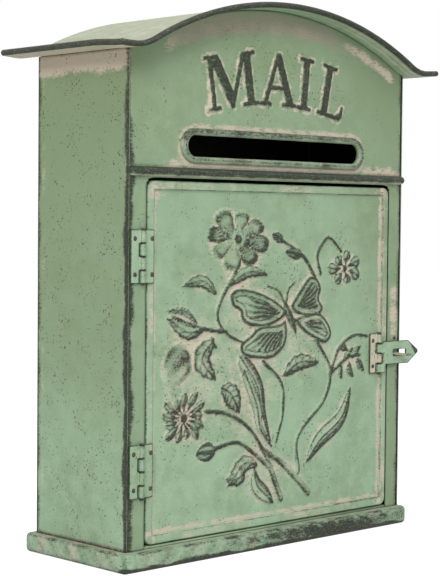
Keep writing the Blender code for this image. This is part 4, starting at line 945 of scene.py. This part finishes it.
def front_marks(x, z, letter_rub, letter_wash):
    side, roof_gap, slot = np.abs(x), wall_top(x) - z, slot_distance(x, z)
    corner_dark = (0.3 + 0.65 * smooth(z, 300, 235)) * (x < 0) + 0.55 * (x > 0)
    corner = 1.35 * corner_dark * band((HALF_WIDTH - side) / (7.2 + waver(z, 70, 14, 3.4)), 1.0)
    rail_line = 0.45 * bell(z, RAIL_Z + 3.6, 0.9)
    doorway = 0.3 * bell(doorway_distance(x, z), 0, 0.7)
    round_slot = bell(slot, 5.2, 3.0) * (0.6 + 0.35 * smooth(z, SLOT_Z + 4, SLOT_Z - 8))
    over_rail = smooth(side, 78, 92) * band((z - 246) / (12 + waver(x, 24, 15, 4)), 1.0) * 0.95
    over_rail *= smooth(z, 240, 243) * np.where(x < 0, smooth(side, 108, 92), 1.0)
    near_wall = 0.75 * band((HALF_WIDTH - side) / 6, 1.0) * (0.55 + waver(z, 55, 16, 0.5))
    by_hasp = smooth(x, 114, 119) * smooth(x, 128.5, 121) * smooth(z, 122, 146) * smooth(z, 182, 160)
    by_hasp = by_hasp * (0.75 + waver(z, 14, 17, 0.4))
    right_arch = 0.9 * bell(roof_gap, 7.5, 4.2) * smooth(x, 40, 96) * smooth(x, 122, 112)
    left_arch = 0.62 * bell(roof_gap, 10, 5.5) * smooth(x, -112, -92) * smooth(x, 62, 30)
    left_arch = left_arch * (0.9 + waver(x, 33, 18, 0.3))
    under_roof = bell(roof_gap, 8, 7.5) * smooth(x, -112, -70) * smooth(x, 84, 40)
    return {"rub": most(letter_rub, corner, rail_line, doorway),
            "wash": most(letter_wash, round_slot, over_rail, near_wall, by_hasp, right_arch, left_arch),
            "shade": under_roof,
            "speckle": np.clip(band(np.hypot(x / 95, (z - 306) / 34), 1.0) * 1.3, 0, 1),
            # Painted shade: the front darkens toward its top under the roof and toward both sides.
            "olive": 0.34 + 0.3 * smooth(x, 40, 124) + 0.3 * smooth(z, 235, 330) + 0.2 * smooth(-x, 90, 124)}


def make_front():
    columns_x, depth, back_x, back_y = front_columns()
    x, z = np.meshgrid(columns_x, front_rows())
    under_arch = ARCH_FROM + (z - ARCH_FROM) * (wall_top(x) - ARCH_FROM) / (TOTAL_HEIGHT - ARCH_FROM)
    z = np.where(z > ARCH_FROM, under_arch, z)
    middle = (x[:-1, :-1] + x[1:, 1:]) / 2, (z[:-1, :-1] + z[1:, 1:]) / 2
    keep = (slot_hole(*middle) > 0) & (doorway_distance(*middle) > 0)
    for hole in (slot_hole, doorway_distance):
        x, z = cut_neatly(x, z, keep, hole)
    window = (x > -92) & (x < 88) & (z > 278) & (z < 340)
    height, letter_rub, letter_wash = np.zeros((3, *x.shape))
    height[window], letter_rub[window], letter_wash[window] = pressed_letters(x[window], z[window])
    front = grid_points(x, FRONT_Y + depth - height, z)
    back = grid_points(x + SHEET * back_x, FRONT_Y + depth + SHEET * back_y - 0.8 * np.maximum(height, 0), z)
    used, numbers = np.unique(np.array(sheet_faces(keep, x.size)), return_inverse=True)
    marks = {mark: np.append(values, np.zeros(x.size))[used]
             for mark, values in front_marks(x, z, letter_rub, letter_wash).items()}
    sheet = np.vstack([front, back])[used], numbers.reshape(-1, 4).tolist(), marks
    sill = [(a, b, c) for a in (-PANEL_HALF + SHEET, PANEL_HALF - SHEET)
            for b in (FRONT_Y + SHEET, FRONT_Y + SILL_DEPTH) for c in (FLOOR_Z, FLOOR_Z + SHEET)]
    box_faces = ((0, 1, 3, 2), (4, 6, 7, 5), (0, 4, 5, 1), (2, 3, 7, 6), (0, 2, 6, 4), (1, 5, 7, 3))
    parts = join_parts(sheet, slot_ring(), (sill, box_faces, {}))
    piece = add_piece("pressed_front", *parts, sage_finish, "box", "sage_paint", "front_panel")
    darken_inside(piece, int((used < x.size).sum()), len(used))


def border_points(keep):
    """Points of a grid that touch both a kept and a cut cell."""
    padded = np.pad(keep, 1, constant_values=True)
    cells = np.stack([padded[:-1, :-1], padded[1:, :-1], padded[:-1, 1:], padded[1:, 1:]])
    return cells.any(0) & ~cells.all(0)


def sheet_faces(keep, count):
    """Front and back faces of the kept cells, with walls along every border."""
    columns = keep.shape[1] + 1
    faces, walls = [], {}
    for i, j in zip(*np.nonzero(keep)):
        a, b = int(i * columns + j), int((i + 1) * columns + j)
        quad = (a, a + 1, b + 1, b)
        faces.append(quad)
        faces.append(tuple(count + k for k in reversed(quad)))
        for p, q in zip(quad, quad[1:] + quad[:1]):
            key = (min(p, q), max(p, q))
            walls[key] = None if key in walls else (p, q)
    for pair in walls.values():
        if pair:
            p, q = pair
            faces.append((q, p, count + p, count + q))
    return faces


# Shell, base, rail and roof

def shell_lines():
    """Lines up the shell, round its plan: x, y, and the way from each to the sheet's inner side."""
    lines = [(-HALF_WIDTH, y, 1.0, 0.0) for y in FRONT_Y + np.concatenate(
        [[0, 0.15, 0.5, 1.0, 1.8, 2.8, 4.0, 5.5], np.arange(8, BACK_Y - SHELL_BEND - FRONT_Y, 3.0)])]
    for a in np.linspace(0, math.pi / 2, 7):
        lines.append((-HALF_WIDTH + SHELL_BEND * (1 - math.cos(a)), BACK_Y - SHELL_BEND * (1 - math.sin(a)),
                      math.cos(a), -math.sin(a)))
    end = HALF_WIDTH - SHELL_BEND - 3
    back = [(x, BACK_Y, 0.0, -1.0) for x in np.linspace(-end, end, 84)]
    return np.array(lines + back + [(-x, y, -nx, ny) for x, y, nx, ny in reversed(lines)]).T


def make_shell():
    line_x, line_y, back_x, back_y = shell_lines()
    inner_x = line_x + SHEET * back_x
    share = np.concatenate([np.linspace(0, 0.94, 96), np.linspace(0.948, 1.0, 10)])[:, None]
    top = wall_top(line_x)
    z = FLOOR_Z + share * (top - FLOOR_Z)
    inner_z = FLOOR_Z + share * (wall_top(inner_x) - FLOOR_Z)
    x, y = np.broadcast_to(line_x, z.shape), np.broadcast_to(line_y, z.shape)
    flat = np.abs(y - BACK_Y) > SHELL_BEND
    from_bends = smooth(y - FRONT_Y, 6, 30) * smooth(BACK_Y - y, 3, 20) * flat
    ripple = 0.25 * waver(z + y * 0.7, 150, 21) * from_bends
    round_lip = 0.45 * band(y - FRONT_Y, 1.2) * flat
    x = x - np.sign(x) * (np.abs(ripple) + round_lip)
    points = np.vstack([grid_points(x, y, z), grid_points(inner_x, line_y + SHEET * back_y, inner_z)])
    faces = sheet_faces(np.ones((z.shape[0] - 1, z.shape[1] - 1), dtype=bool), z.size)

    to_front = np.where(flat, y - FRONT_Y, 99)
    to_rear = np.hypot(HALF_WIDTH - np.abs(x), BACK_Y - y)
    strength = np.where(x < 0, 1.0 + 0.3 * smooth(z, 240, 190) - 0.3 * smooth(z, 270, 310), 1.1)
    front = strength * band(to_front / (5.0 + waver(z, 64, 22, 2.6)), 1.0)
    rear = 1.4 * band(to_rear / (6.4 + waver(z, 50, 23, 1.6)), 1.0)
    foot = 0.6 * band((z - FLOOR_Z) / (1.6 + waver(x + y, 30, 24, 0.9)), 1.0)
    eave = 1.5 * bell(top - z, 5.5, 6.5 + waver(y + x, 40, 25, 1.5))
    rear_pale = 0.6 * bell(to_rear, 8.5, 2.0) * (0.6 + waver(z, 60, 26, 0.5))
    low_pale = 0.55 * band((z - FLOOR_Z) / 5, 1.0)
    marks = {"rub": most(front, rear, foot), "wash": most(eave, rear_pale, low_pale),
             # Painted shade: the walls darken upward, most under the eave.
             "olive": 0.1 + 0.6 * smooth(z, 40, 150) + 0.3 * smooth(z, 190, 320),
             "speckle": np.full(z.shape, 0.55)}
    shell = add_piece("folded_shell", points, faces, marks, olive_finish, "box", "olive_paint", "body_shell")
    darken_inside(shell, z.size, 2 * z.size)


def rectangle_ring(half_x, half_y, corner, centre_y):
    """Points round a rounded rectangle, the same number for any size."""
    points = []
    for side_x, side_y, start in ((1, 1, 0.0), (-1, 1, 0.5), (-1, -1, 1.0), (1, -1, 1.5)):
        for i in range(7):
            a = math.pi * (start + 0.5 * i / 6)
            points.append((side_x * (half_x - corner) + corner * math.cos(a),
                           side_y * (half_y - corner) + corner * math.sin(a)))
    out = []
    for k, (a, b) in enumerate(zip(points, points[1:] + points[:1])):
        out.append(a)
        if k % 7 == 6:
            many = 84 if k in (6, 20) else 30
            out += list(zip(*np.linspace(a, b, many + 1)[1:-1].T))
    return [(x, centre_y + y) for x, y in out]


def base_profile():
    """The tray's section: how far in from the widest rectangle, and how high."""
    inner = BASE_EDGE - SHEET
    quarter = np.linspace(0, math.pi / 2, 8)
    turned_in = np.linspace(0, math.pi / 2, 5)
    profile = [(inset, BASE_HEIGHT) for inset in (BASE_MIDDLE, 36, 26, 16, 9, 6.5, 5.2, 4.4, 3.6)]
    profile += [(BASE_EDGE * (1 - math.sin(a)), BASE_HEIGHT - BASE_EDGE * (1 - math.cos(a))) for a in quarter]
    profile += [(0.0, level) for level in (8.0, 6.5, 5.0, 4.0)]
    profile += [(BASE_EDGE * (1 - math.cos(a)), BASE_EDGE * (1 - math.sin(a))) for a in quarter]
    profile += [(BASE_LIP, 0.0), (BASE_LIP, SHEET)]
    profile += [(BASE_EDGE - inner * math.cos(a), BASE_EDGE - inner * math.sin(a)) for a in turned_in[::-1]]
    profile += [(BASE_EDGE - inner * math.sin(a), BASE_HEIGHT - BASE_EDGE + inner * math.cos(a))
                for a in turned_in[::-1]]
    return profile + [(BASE_MIDDLE, BASE_HEIGHT - SHEET)]


def make_base():
    half_x, half_y = HALF_WIDTH + BASE_OVERHANG, (BACK_Y - FRONT_Y) / 2 + BASE_OVERHANG
    centre_y = (FRONT_Y + BACK_Y) / 2
    profile = base_profile()
    rings = [rectangle_ring(half_x - inset, half_y - inset, max(BASE_CORNER - inset, 1.0), centre_y)
             for inset, _ in profile]
    points = [(px, py, level) for ring, (_, level) in zip(rings, profile) for px, py in ring]
    x, y, level = np.array(points).T
    inset = np.repeat([inset for inset, _ in profile], len(rings[0]))
    around = x + y * 1.3
    outside, in_front = inset < 5, y < -40
    left_side = (x < -129) & (y > -42)
    low = 1.6 * band(level / (5.2 + waver(around, 66, 31, 2.6)), 1.0) * np.where(left_side, 0.35, 1.15)
    high = 0.7 * bell(level, 11.4, 1.3) * (inset < 1.8) * (0.75 + waver(around, 38, 32, 0.45))
    corners = 0.72 * band(np.hypot(half_x - np.abs(x), half_y - np.abs(y - centre_y)) / 5, 1.0)
    scuff = 1.3 * band(np.abs(x - 62) / 70, 1.0) * smooth(level, 11.5, 5) * in_front
    smear = bell(x, 45, 62) * band(np.abs(level - 7.5) / 5.5, 1.0) * in_front
    smear = smear * (0.75 + waver(around + level * 2, 23, 34, 0.5))
    smear = smear + 0.36 * (0.8 + waver(around - level, 19, 35, 0.5))
    meet = 0.95 * bell(inset, 4.3, 1.3) * (level > 12)
    faded = (0.42 + 0.1 * left_side) * outside * (0.6 + waver(around, 44, 33, 0.5))
    marks = {"rub": most(high, outside * most(low, corners, scuff, smear)), "wash": most(meet, faded),
             "speckle": np.full(len(points), 0.5)}
    add_piece("base_tray", points, rod_faces(len(rings), len(rings[0])), marks,
              sage_finish, "box", "sage_paint", "base_pan")


def make_rail():
    end = [(-HALF_WIDTH + RAIL_HALF * (1 - math.cos(a)), math.sin(a))
           for a in np.linspace(0.08, math.pi / 2, 9)]
    stations = end + [(x, 1.0) for x in np.linspace(-HALF_WIDTH + 5, -1, 70)]
    stations += [(-x, size) for x, size in reversed(stations)]
    section = [(0.0, 1.0), (0.0, 0.0), (0.0, -1.0)]
    section += [(math.cos(a), math.sin(a)) for a in np.linspace(-math.pi / 2, math.pi / 2, 15)[1:-1]]
    x, size = (column[:, None] for column in np.array(stations).T)
    out, up = np.array(section).T
    points = grid_points(x, FRONT_Y - JOIN_GAP - size * RAIL_DEPTH * out, RAIL_Z + size * RAIL_HALF * up)
    up = size * up
    rub = 0.85 + 0.4 * smooth(up, -0.5, 0.2) + waver(x, 37, 41, 0.2) - 0.6 * smooth(up, -0.45, -0.8)
    # Painted shade: the rail's underside is darker.
    marks = {"rub": rub, "wash": 0.5 * smooth(up, -0.3, -0.8), "olive": 0.4 * smooth(up, -0.3, -0.9)}
    faces = rod_faces(len(stations), len(section))
    add_piece("bead_rail", points, faces, marks, sage_finish, "box", "sage_paint", "drip_rail")


def roof_path(crown_steps, turn_steps):
    """(x, z, slope) along the rim's centre line from the left eave to the right one."""
    half = []
    for a in np.linspace(0, CROWN_SLOPE, crown_steps, endpoint=False):
        half.append((CROWN_RADIUS * math.sin(a), CROWN_CENTRE_Z + CROWN_RADIUS * math.cos(a), -a))
    for a in np.linspace(CROWN_SLOPE, -EAVE_RISE, turn_steps):
        half.append((EAVE_LOW_X - EAVE_RADIUS * math.sin(a), EAVE_CENTRE_Z - EAVE_RADIUS * math.cos(a), -a))
    for x in np.linspace(half[-1][0], EAVE_END_X, 5)[1:]:
        half.append((x, float(roof_height(x)), EAVE_RISE))
    return [(-x, z, -slope) for x, z, slope in reversed(half[1:])] + half


def corner_droop(y):
    """How far the roof's left eave has sagged, most at the front."""
    return 1.4 * smooth(-y, 30, 58)


def roof_sheet():
    """The sheet with its rolled front rim."""
    rear, upper, lower = ROOF_REAR - 0.1, SHEET - RIM_RADIUS, -RIM_RADIUS
    roll_end = -2 * math.pi - math.asin((RIM_RADIUS - SHEET) / RIM_RADIUS)
    roll = [(ROOF_FRONT + RIM_RADIUS * math.cos(a), RIM_RADIUS * math.sin(a))
            for a in np.linspace(-math.pi / 2, roll_end, 22)]
    tops = [(y, upper) for y in [*np.linspace(ROOF_FRONT + 3, rear - 3, 34),
                                 rear - 1.6, rear - 0.8, rear - 0.3]]
    edge = [(rear, upper - 0.3), (rear, lower + 0.3), (rear - 0.3, lower)]
    unders = [(y, lower) for y in [*np.linspace(rear - 3, ROOF_FRONT + 18, 15),
                                   *np.linspace(ROOF_FRONT + 16.5, ROOF_FRONT + 1.5, 14)]]
    section = roll + tops + edge + unders
    stations = roof_path(86, 22)
    x, z, slope = (column[:, None] for column in np.array(stations).T)
    y, up = np.array(section).T
    height = z + up * np.cos(slope) - corner_droop(y) * smooth(-x, 118, 146) - 0.01
    points = grid_points(x - up * np.sin(slope), y, height)

    number = np.arange(len(section))
    on_roll, on_top = number < len(roll), number < len(roll) + len(tops)
    from_rim = y - ROOF_FRONT
    rim_rub = 1.3 + waver(x, 17, 51, 0.3) - 0.15 * smooth(up, -0.5, -1.6)
    top_rub = most(0.75 * bell(y, rear, 0.9), 0.5 * band((EAVE_END_X - np.abs(x)) / 3.0, 1.0),
                   0.55 * band((from_rim - 1.5) / 2.5, 1.0))
    cream = (0.85 * bell(from_rim, 3.5, 1.2) + 0.7 * bell(from_rim, 8.5, 1.3)) * smooth(x, 0, 50)
    cream = most(cream, 0.8 * smooth(-x, 100, 125)) * ~on_top
    marks = {"rub": np.select([on_roll, on_top], [rim_rub, top_rub], 0.3 * band((rear - y) / 2, 1.0)),
             "wash": most(cream, 0.2), "speckle": 0.1}
    return points, rod_faces(len(stations), len(section)), marks


def eave_roll(side):
    """The rolled side edge of the roof: a rod with round ends."""
    steps = np.linspace(0.12, math.pi / 2, 7)
    front = [(math.sin(a), ROOF_FRONT - 0.95 * EAVE_ROLL_RADIUS * math.cos(a)) for a in steps]
    middle = [(1.0, y) for y in np.linspace(ROOF_FRONT + 3, ROOF_REAR - 5, 34)]
    rear = [(math.sin(a), ROOF_REAR - EAVE_ROLL_RADIUS * (1 - math.cos(a)) - 0.1) for a in steps[::-1]]
    size, y = (column[:, None] for column in np.array(front + middle + rear).T)
    turn = np.linspace(0, 2 * math.pi, 20, endpoint=False)
    x = side * EAVE_END_X + EAVE_ROLL_RADIUS * size * np.cos(turn)
    z = roof_height(EAVE_END_X) + EAVE_ROLL_RADIUS * size * np.sin(turn) - corner_droop(y) * (side < 0)
    marks = {"rub": 1.1 + waver(y, 15, 53 + side, 0.35) + 0 * turn, "wash": 0.3, "speckle": 0.2}
    return grid_points(x, y, z), rod_faces(len(y), len(turn)), marks


def make_roof():
    parts = join_parts(roof_sheet(), eave_roll(-1), eave_roll(1))
    roof = add_piece("formed_roof", *parts, pale_finish, "box", "pale_paint", "roof")
    roof.data.materials.append(sage_finish)
    for polygon in roof.data.polygons:
        behind_rim = roof.data.vertices[polygon.vertices[0]].co.y / MM > ROOF_FRONT - 3
        polygon.material_index = int(polygon.normal.z < -0.2 and behind_rim)


# Hardware

def worn_copy(node, voxel, body, pale, dark_point=False):
    """A node's form with softened, rubbed edges, as thick paint leaves it."""
    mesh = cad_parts[node].data.copy()
    bm = bmesh.new()
    bm.from_mesh(mesh)
    bmesh.ops.remove_doubles(bm, verts=bm.verts, dist=1e-6)
    bmesh.ops.recalc_face_normals(bm, faces=bm.faces)
    bm.to_mesh(mesh)
    bm.free()
    blank = bpy.data.objects.new("blank", mesh)
    bpy.context.scene.collection.objects.link(blank)
    skin = blank.modifiers.new("skin", "REMESH")
    skin.mode = "VOXEL"
    skin.voxel_size = voxel * MM
    ease = blank.modifiers.new("ease", "SMOOTH")
    ease.factor = 0.5
    ease.iterations = 2
    result = finished_mesh(blank)
    places = np.array([v.co[:] for v in result.vertices])
    normals = np.array([v.normal[:] for v in result.vertices])
    first, second = np.array([e.vertices[:] for e in result.edges]).T

    def round_about(values):
        """Sum of a value over each point's neighbours."""
        total = np.zeros_like(values)
        np.add.at(total, first, values[second])
        np.add.at(total, second, values[first])
        return total

    number = round_about(np.ones(len(places)))
    drift = round_about(places) / number[:, None] - places
    sharp = -(drift * normals).sum(1) / (voxel * MM)
    for _ in range(4):
        sharp = (sharp + round_about(sharp)) / (number + 1)
    rub = 0.12 + sharp * 11.0
    if dark_point:
        across, up = places[:, 0] / MM, places[:, 2] / MM - HASP_Z
        rub = rub + 0.9 * smooth(across + 0.7 * up, 139.5, 142.5) * (up > -2)
    for mark, values in (("rub", np.clip(rub, 0, 1.1)), ("wash", np.clip(pale - sharp * 4.0, 0, 0.9))):
        layer = result.attributes.new(mark, "FLOAT", "POINT")
        layer.data.foreach_set("value", values.astype(np.float32))
    set_piece(f"worn_{node}", result, sage_finish, body, "sage_paint", node)


def rivet_tree():
    """Domed rivet heads on a mesh of single points."""
    tree = bpy.data.node_groups.new("rivet_heads", "GeometryNodeTree")
    tree.interface.new_socket("Geometry", in_out="INPUT", socket_type="NodeSocketGeometry")
    for label in ("Head radius", "Head height", "Shank radius", "Shank length"):
        tree.interface.new_socket(label, in_out="INPUT", socket_type="NodeSocketFloat")
    tree.interface.new_socket("Finish", in_out="INPUT", socket_type="NodeSocketMaterial")
    tree.interface.new_socket("Geometry", in_out="OUTPUT", socket_type="NodeSocketGeometry")

    def made(kind, inputs, **settings):
        return add_node(tree, kind, inputs, **settings).outputs[0]

    given = add_node(tree, "NodeGroupInput").outputs
    ball = made("GeometryNodeMeshUVSphere", {"Segments": 20, "Rings": 12, "Radius": given["Head radius"]})
    flatness = made("ShaderNodeMath", {0: given["Head height"], 1: given["Head radius"]}, operation="DIVIDE")
    scale = made("ShaderNodeCombineXYZ", {"X": 1.0, "Y": flatness, "Z": 1.0})
    dome = made("GeometryNodeTransform", {"Geometry": ball, "Scale": scale})
    shank = made("GeometryNodeMeshCylinder",
                 {"Vertices": 16, "Radius": given["Shank radius"], "Depth": given["Shank length"]})
    half_length = made("ShaderNodeMath", {0: given["Shank length"], 1: 0.5}, operation="MULTIPLY")
    inward = made("ShaderNodeCombineXYZ", {"Y": half_length})
    laid = made("GeometryNodeTransform",
                {"Geometry": shank, "Translation": inward, "Rotation": (math.pi / 2, 0, 0)})
    join = add_node(tree, "GeometryNodeJoinGeometry", {0: dome})
    tree.links.new(laid, join.inputs[0])
    heads = made("GeometryNodeInstanceOnPoints", {"Points": given["Geometry"], "Instance": join.outputs[0]})
    real = made("GeometryNodeRealizeInstances", {0: heads})
    painted = made("GeometryNodeSetMaterial", {"Geometry": real, "Material": given["Finish"]})
    add_node(tree, "NodeGroupOutput", {0: painted})
    return tree


def make_rivets(name, tree, places, body, nodes):
    mesh = bpy.data.meshes.new(name)
    mesh.from_pydata([tuple(c * MM for c in place) for place in places], [], [])
    seed = bpy.data.objects.new("rivet_points", mesh)
    bpy.context.scene.collection.objects.link(seed)
    heads = seed.modifiers.new("heads", "NODES")
    heads.node_group = tree
    sizes = {"Head radius": RIVET_HEAD_RADIUS * MM, "Head height": RIVET_HEAD_HEIGHT * MM,
             "Shank radius": RIVET_SHANK_RADIUS * MM, "Shank length": RIVET_LENGTH * MM,
             "Finish": rivet_finish}
    for item in tree.interface.items_tree:
        if item.name in sizes:
            heads[item.identifier] = sizes[item.name]
    set_piece(name, finished_mesh(seed), rivet_finish, body, "dark_metal", *nodes)


def make_hardware():
    for place in ("upper", "lower"):
        worn_copy(f"{place}_hinge_frame_leaf", 0.22, "box", 0.2)
        worn_copy(f"{place}_hinge_door_leaf", 0.22, "door", 0.05)
    worn_copy("hasp_leaf", 0.22, "door", 0.8)
    worn_copy("hasp_plate", 0.24, "hasp", 0.12, True)
    worn_copy("staple", 0.2, "box", 0.75)
    tree = rivet_tree()
    leaf_front = FRONT_Y - JOIN_GAP - LEAF_THICKNESS
    for side, (x, body) in HINGE_RIVETS.items():
        places, nodes = [], []
        for place, height in zip(("lower", "upper"), HINGE_HEIGHTS):
            for end, step in (("low", -HINGE_RIVET_STEP), ("high", HINGE_RIVET_STEP)):
                places.append((x, leaf_front, height + step))
                nodes.append(f"{place}_hinge_{side}_rivet_{end}")
        if side == "door":
            places += [(HASP_RIVET_X, leaf_front + FIELD_DROP, HASP_Z + step)
                       for step in (-HASP_RIVET_STEP, HASP_RIVET_STEP)]
            nodes += ["hasp_rivet_low", "hasp_rivet_high"]
        make_rivets(f"{side}_rivets", tree, places, body, nodes)
    for node in ("upper_hinge_pin", "lower_hinge_pin", "hasp_pin", "staple_rivet"):
        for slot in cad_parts[node].material_slots:
            slot.material = bead_finish


# Setting

def make_camera():
    yaw, pitch, roll = (math.radians(angle) for angle in CAMERA_TURN)
    ahead = Vector((math.sin(yaw) * math.cos(pitch), math.cos(yaw) * math.cos(pitch), math.sin(pitch)))
    side = ahead.cross(Vector((0, 0, 1))).normalized()
    above = side.cross(ahead)
    right = math.cos(roll) * side + math.sin(roll) * above
    up = -math.sin(roll) * side + math.cos(roll) * above
    lens = bpy.data.cameras.new("camera")
    lens.sensor_fit = "VERTICAL"
    lens.sensor_height = SENSOR_HEIGHT
    lens.lens = FOCAL_PIXELS / PHOTO_HEIGHT * SENSOR_HEIGHT
    camera = bpy.data.objects.new("camera", lens)
    camera.matrix_world = Matrix((right, up, -ahead)).transposed().to_4x4()
    camera.location = CAMERA_PLACE
    bpy.context.scene.collection.objects.link(camera)
    bpy.context.scene.camera = camera


def add_lamp(name, place, size, power):
    lamp = bpy.data.lights.new(name, "AREA")
    lamp.shape = "SQUARE"
    lamp.size = size
    lamp.energy = power
    holder = bpy.data.objects.new(name, lamp)
    holder.location = place
    holder.rotation_euler = (Vector((0, 0, LAMP_AIM_Z)) - Vector(place)).to_track_quat("-Z", "Y").to_euler()
    bpy.context.scene.collection.objects.link(holder)


def make_world():
    """Even light on the object, and white for what looks past it."""
    world = bpy.data.worlds.new("studio")
    world.use_nodes = True
    tree = world.node_tree
    light = tree.nodes["Background"]
    light.inputs["Color"].default_value = (1, 1, 1, 1)
    light.inputs["Strength"].default_value = WORLD_LIGHT
    white = add_node(tree, "ShaderNodeBackground", {"Color": (1, 1, 1, 1), "Strength": 1.0})
    ray = add_node(tree, "ShaderNodeLightPath").outputs
    seen = ray["Is Camera Ray"]
    for other in ("Is Glossy Ray", "Is Transmission Ray"):
        both = add_node(tree, "ShaderNodeMath", {0: seen, 1: ray[other]}, operation="ADD", use_clamp=True)
        seen = both.outputs[0]
    pick = add_node(tree, "ShaderNodeMixShader", {0: seen, 1: light.outputs[0], 2: white.outputs[0]})
    tree.links.new(pick.outputs[0], tree.nodes["World Output"].inputs["Surface"])
    bpy.context.scene.world = world


def make_floor():
    """A pale disc that keeps the shadow and looks white to the camera."""
    disc = bpy.data.meshes.new("floor")
    rim = [(FLOOR_RADIUS * math.cos(a), FLOOR_RADIUS * math.sin(a), 0)
           for a in np.linspace(0, 2 * math.pi, 64, endpoint=False)]
    disc.from_pydata(rim, [], [range(len(rim))])
    ground = bpy.data.objects.new("floor", disc)
    bpy.context.scene.collection.objects.link(ground)
    paper = bpy.data.materials.new("white_paper")
    paper.use_nodes = True
    tree = paper.node_tree
    shader = tree.nodes["Principled BSDF"]
    shader.inputs["Base Color"].default_value = (0.93, 0.93, 0.93, 1)
    shader.inputs["Roughness"].default_value = 0.9
    ray = add_node(tree, "ShaderNodeLightPath").outputs
    lift = add_node(tree, "ShaderNodeMath", {0: ray["Is Camera Ray"], 1: FLOOR_LIFT}, operation="MULTIPLY")
    glow = add_node(tree, "ShaderNodeEmission", {"Strength": lift.outputs[0]})
    both = add_node(tree, "ShaderNodeAddShader", {0: shader.outputs[0], 1: glow.outputs[0]})
    tree.links.new(both.outputs[0], tree.nodes["Material Output"].inputs["Surface"])
    disc.materials.append(paper)


def make_studio():
    make_world()
    for name, (place, size, power) in LAMPS.items():
        add_lamp(name, place, size, power)
    make_floor()


make_camera()
make_studio()
make_door()
make_front()
make_shell()
make_base()
make_rail()
make_roof()
make_hardware()
bpy.context.scene.view_settings.view_transform = "Standard"


def plain(box):
    return [[float(value) for value in corner] for corner in box]
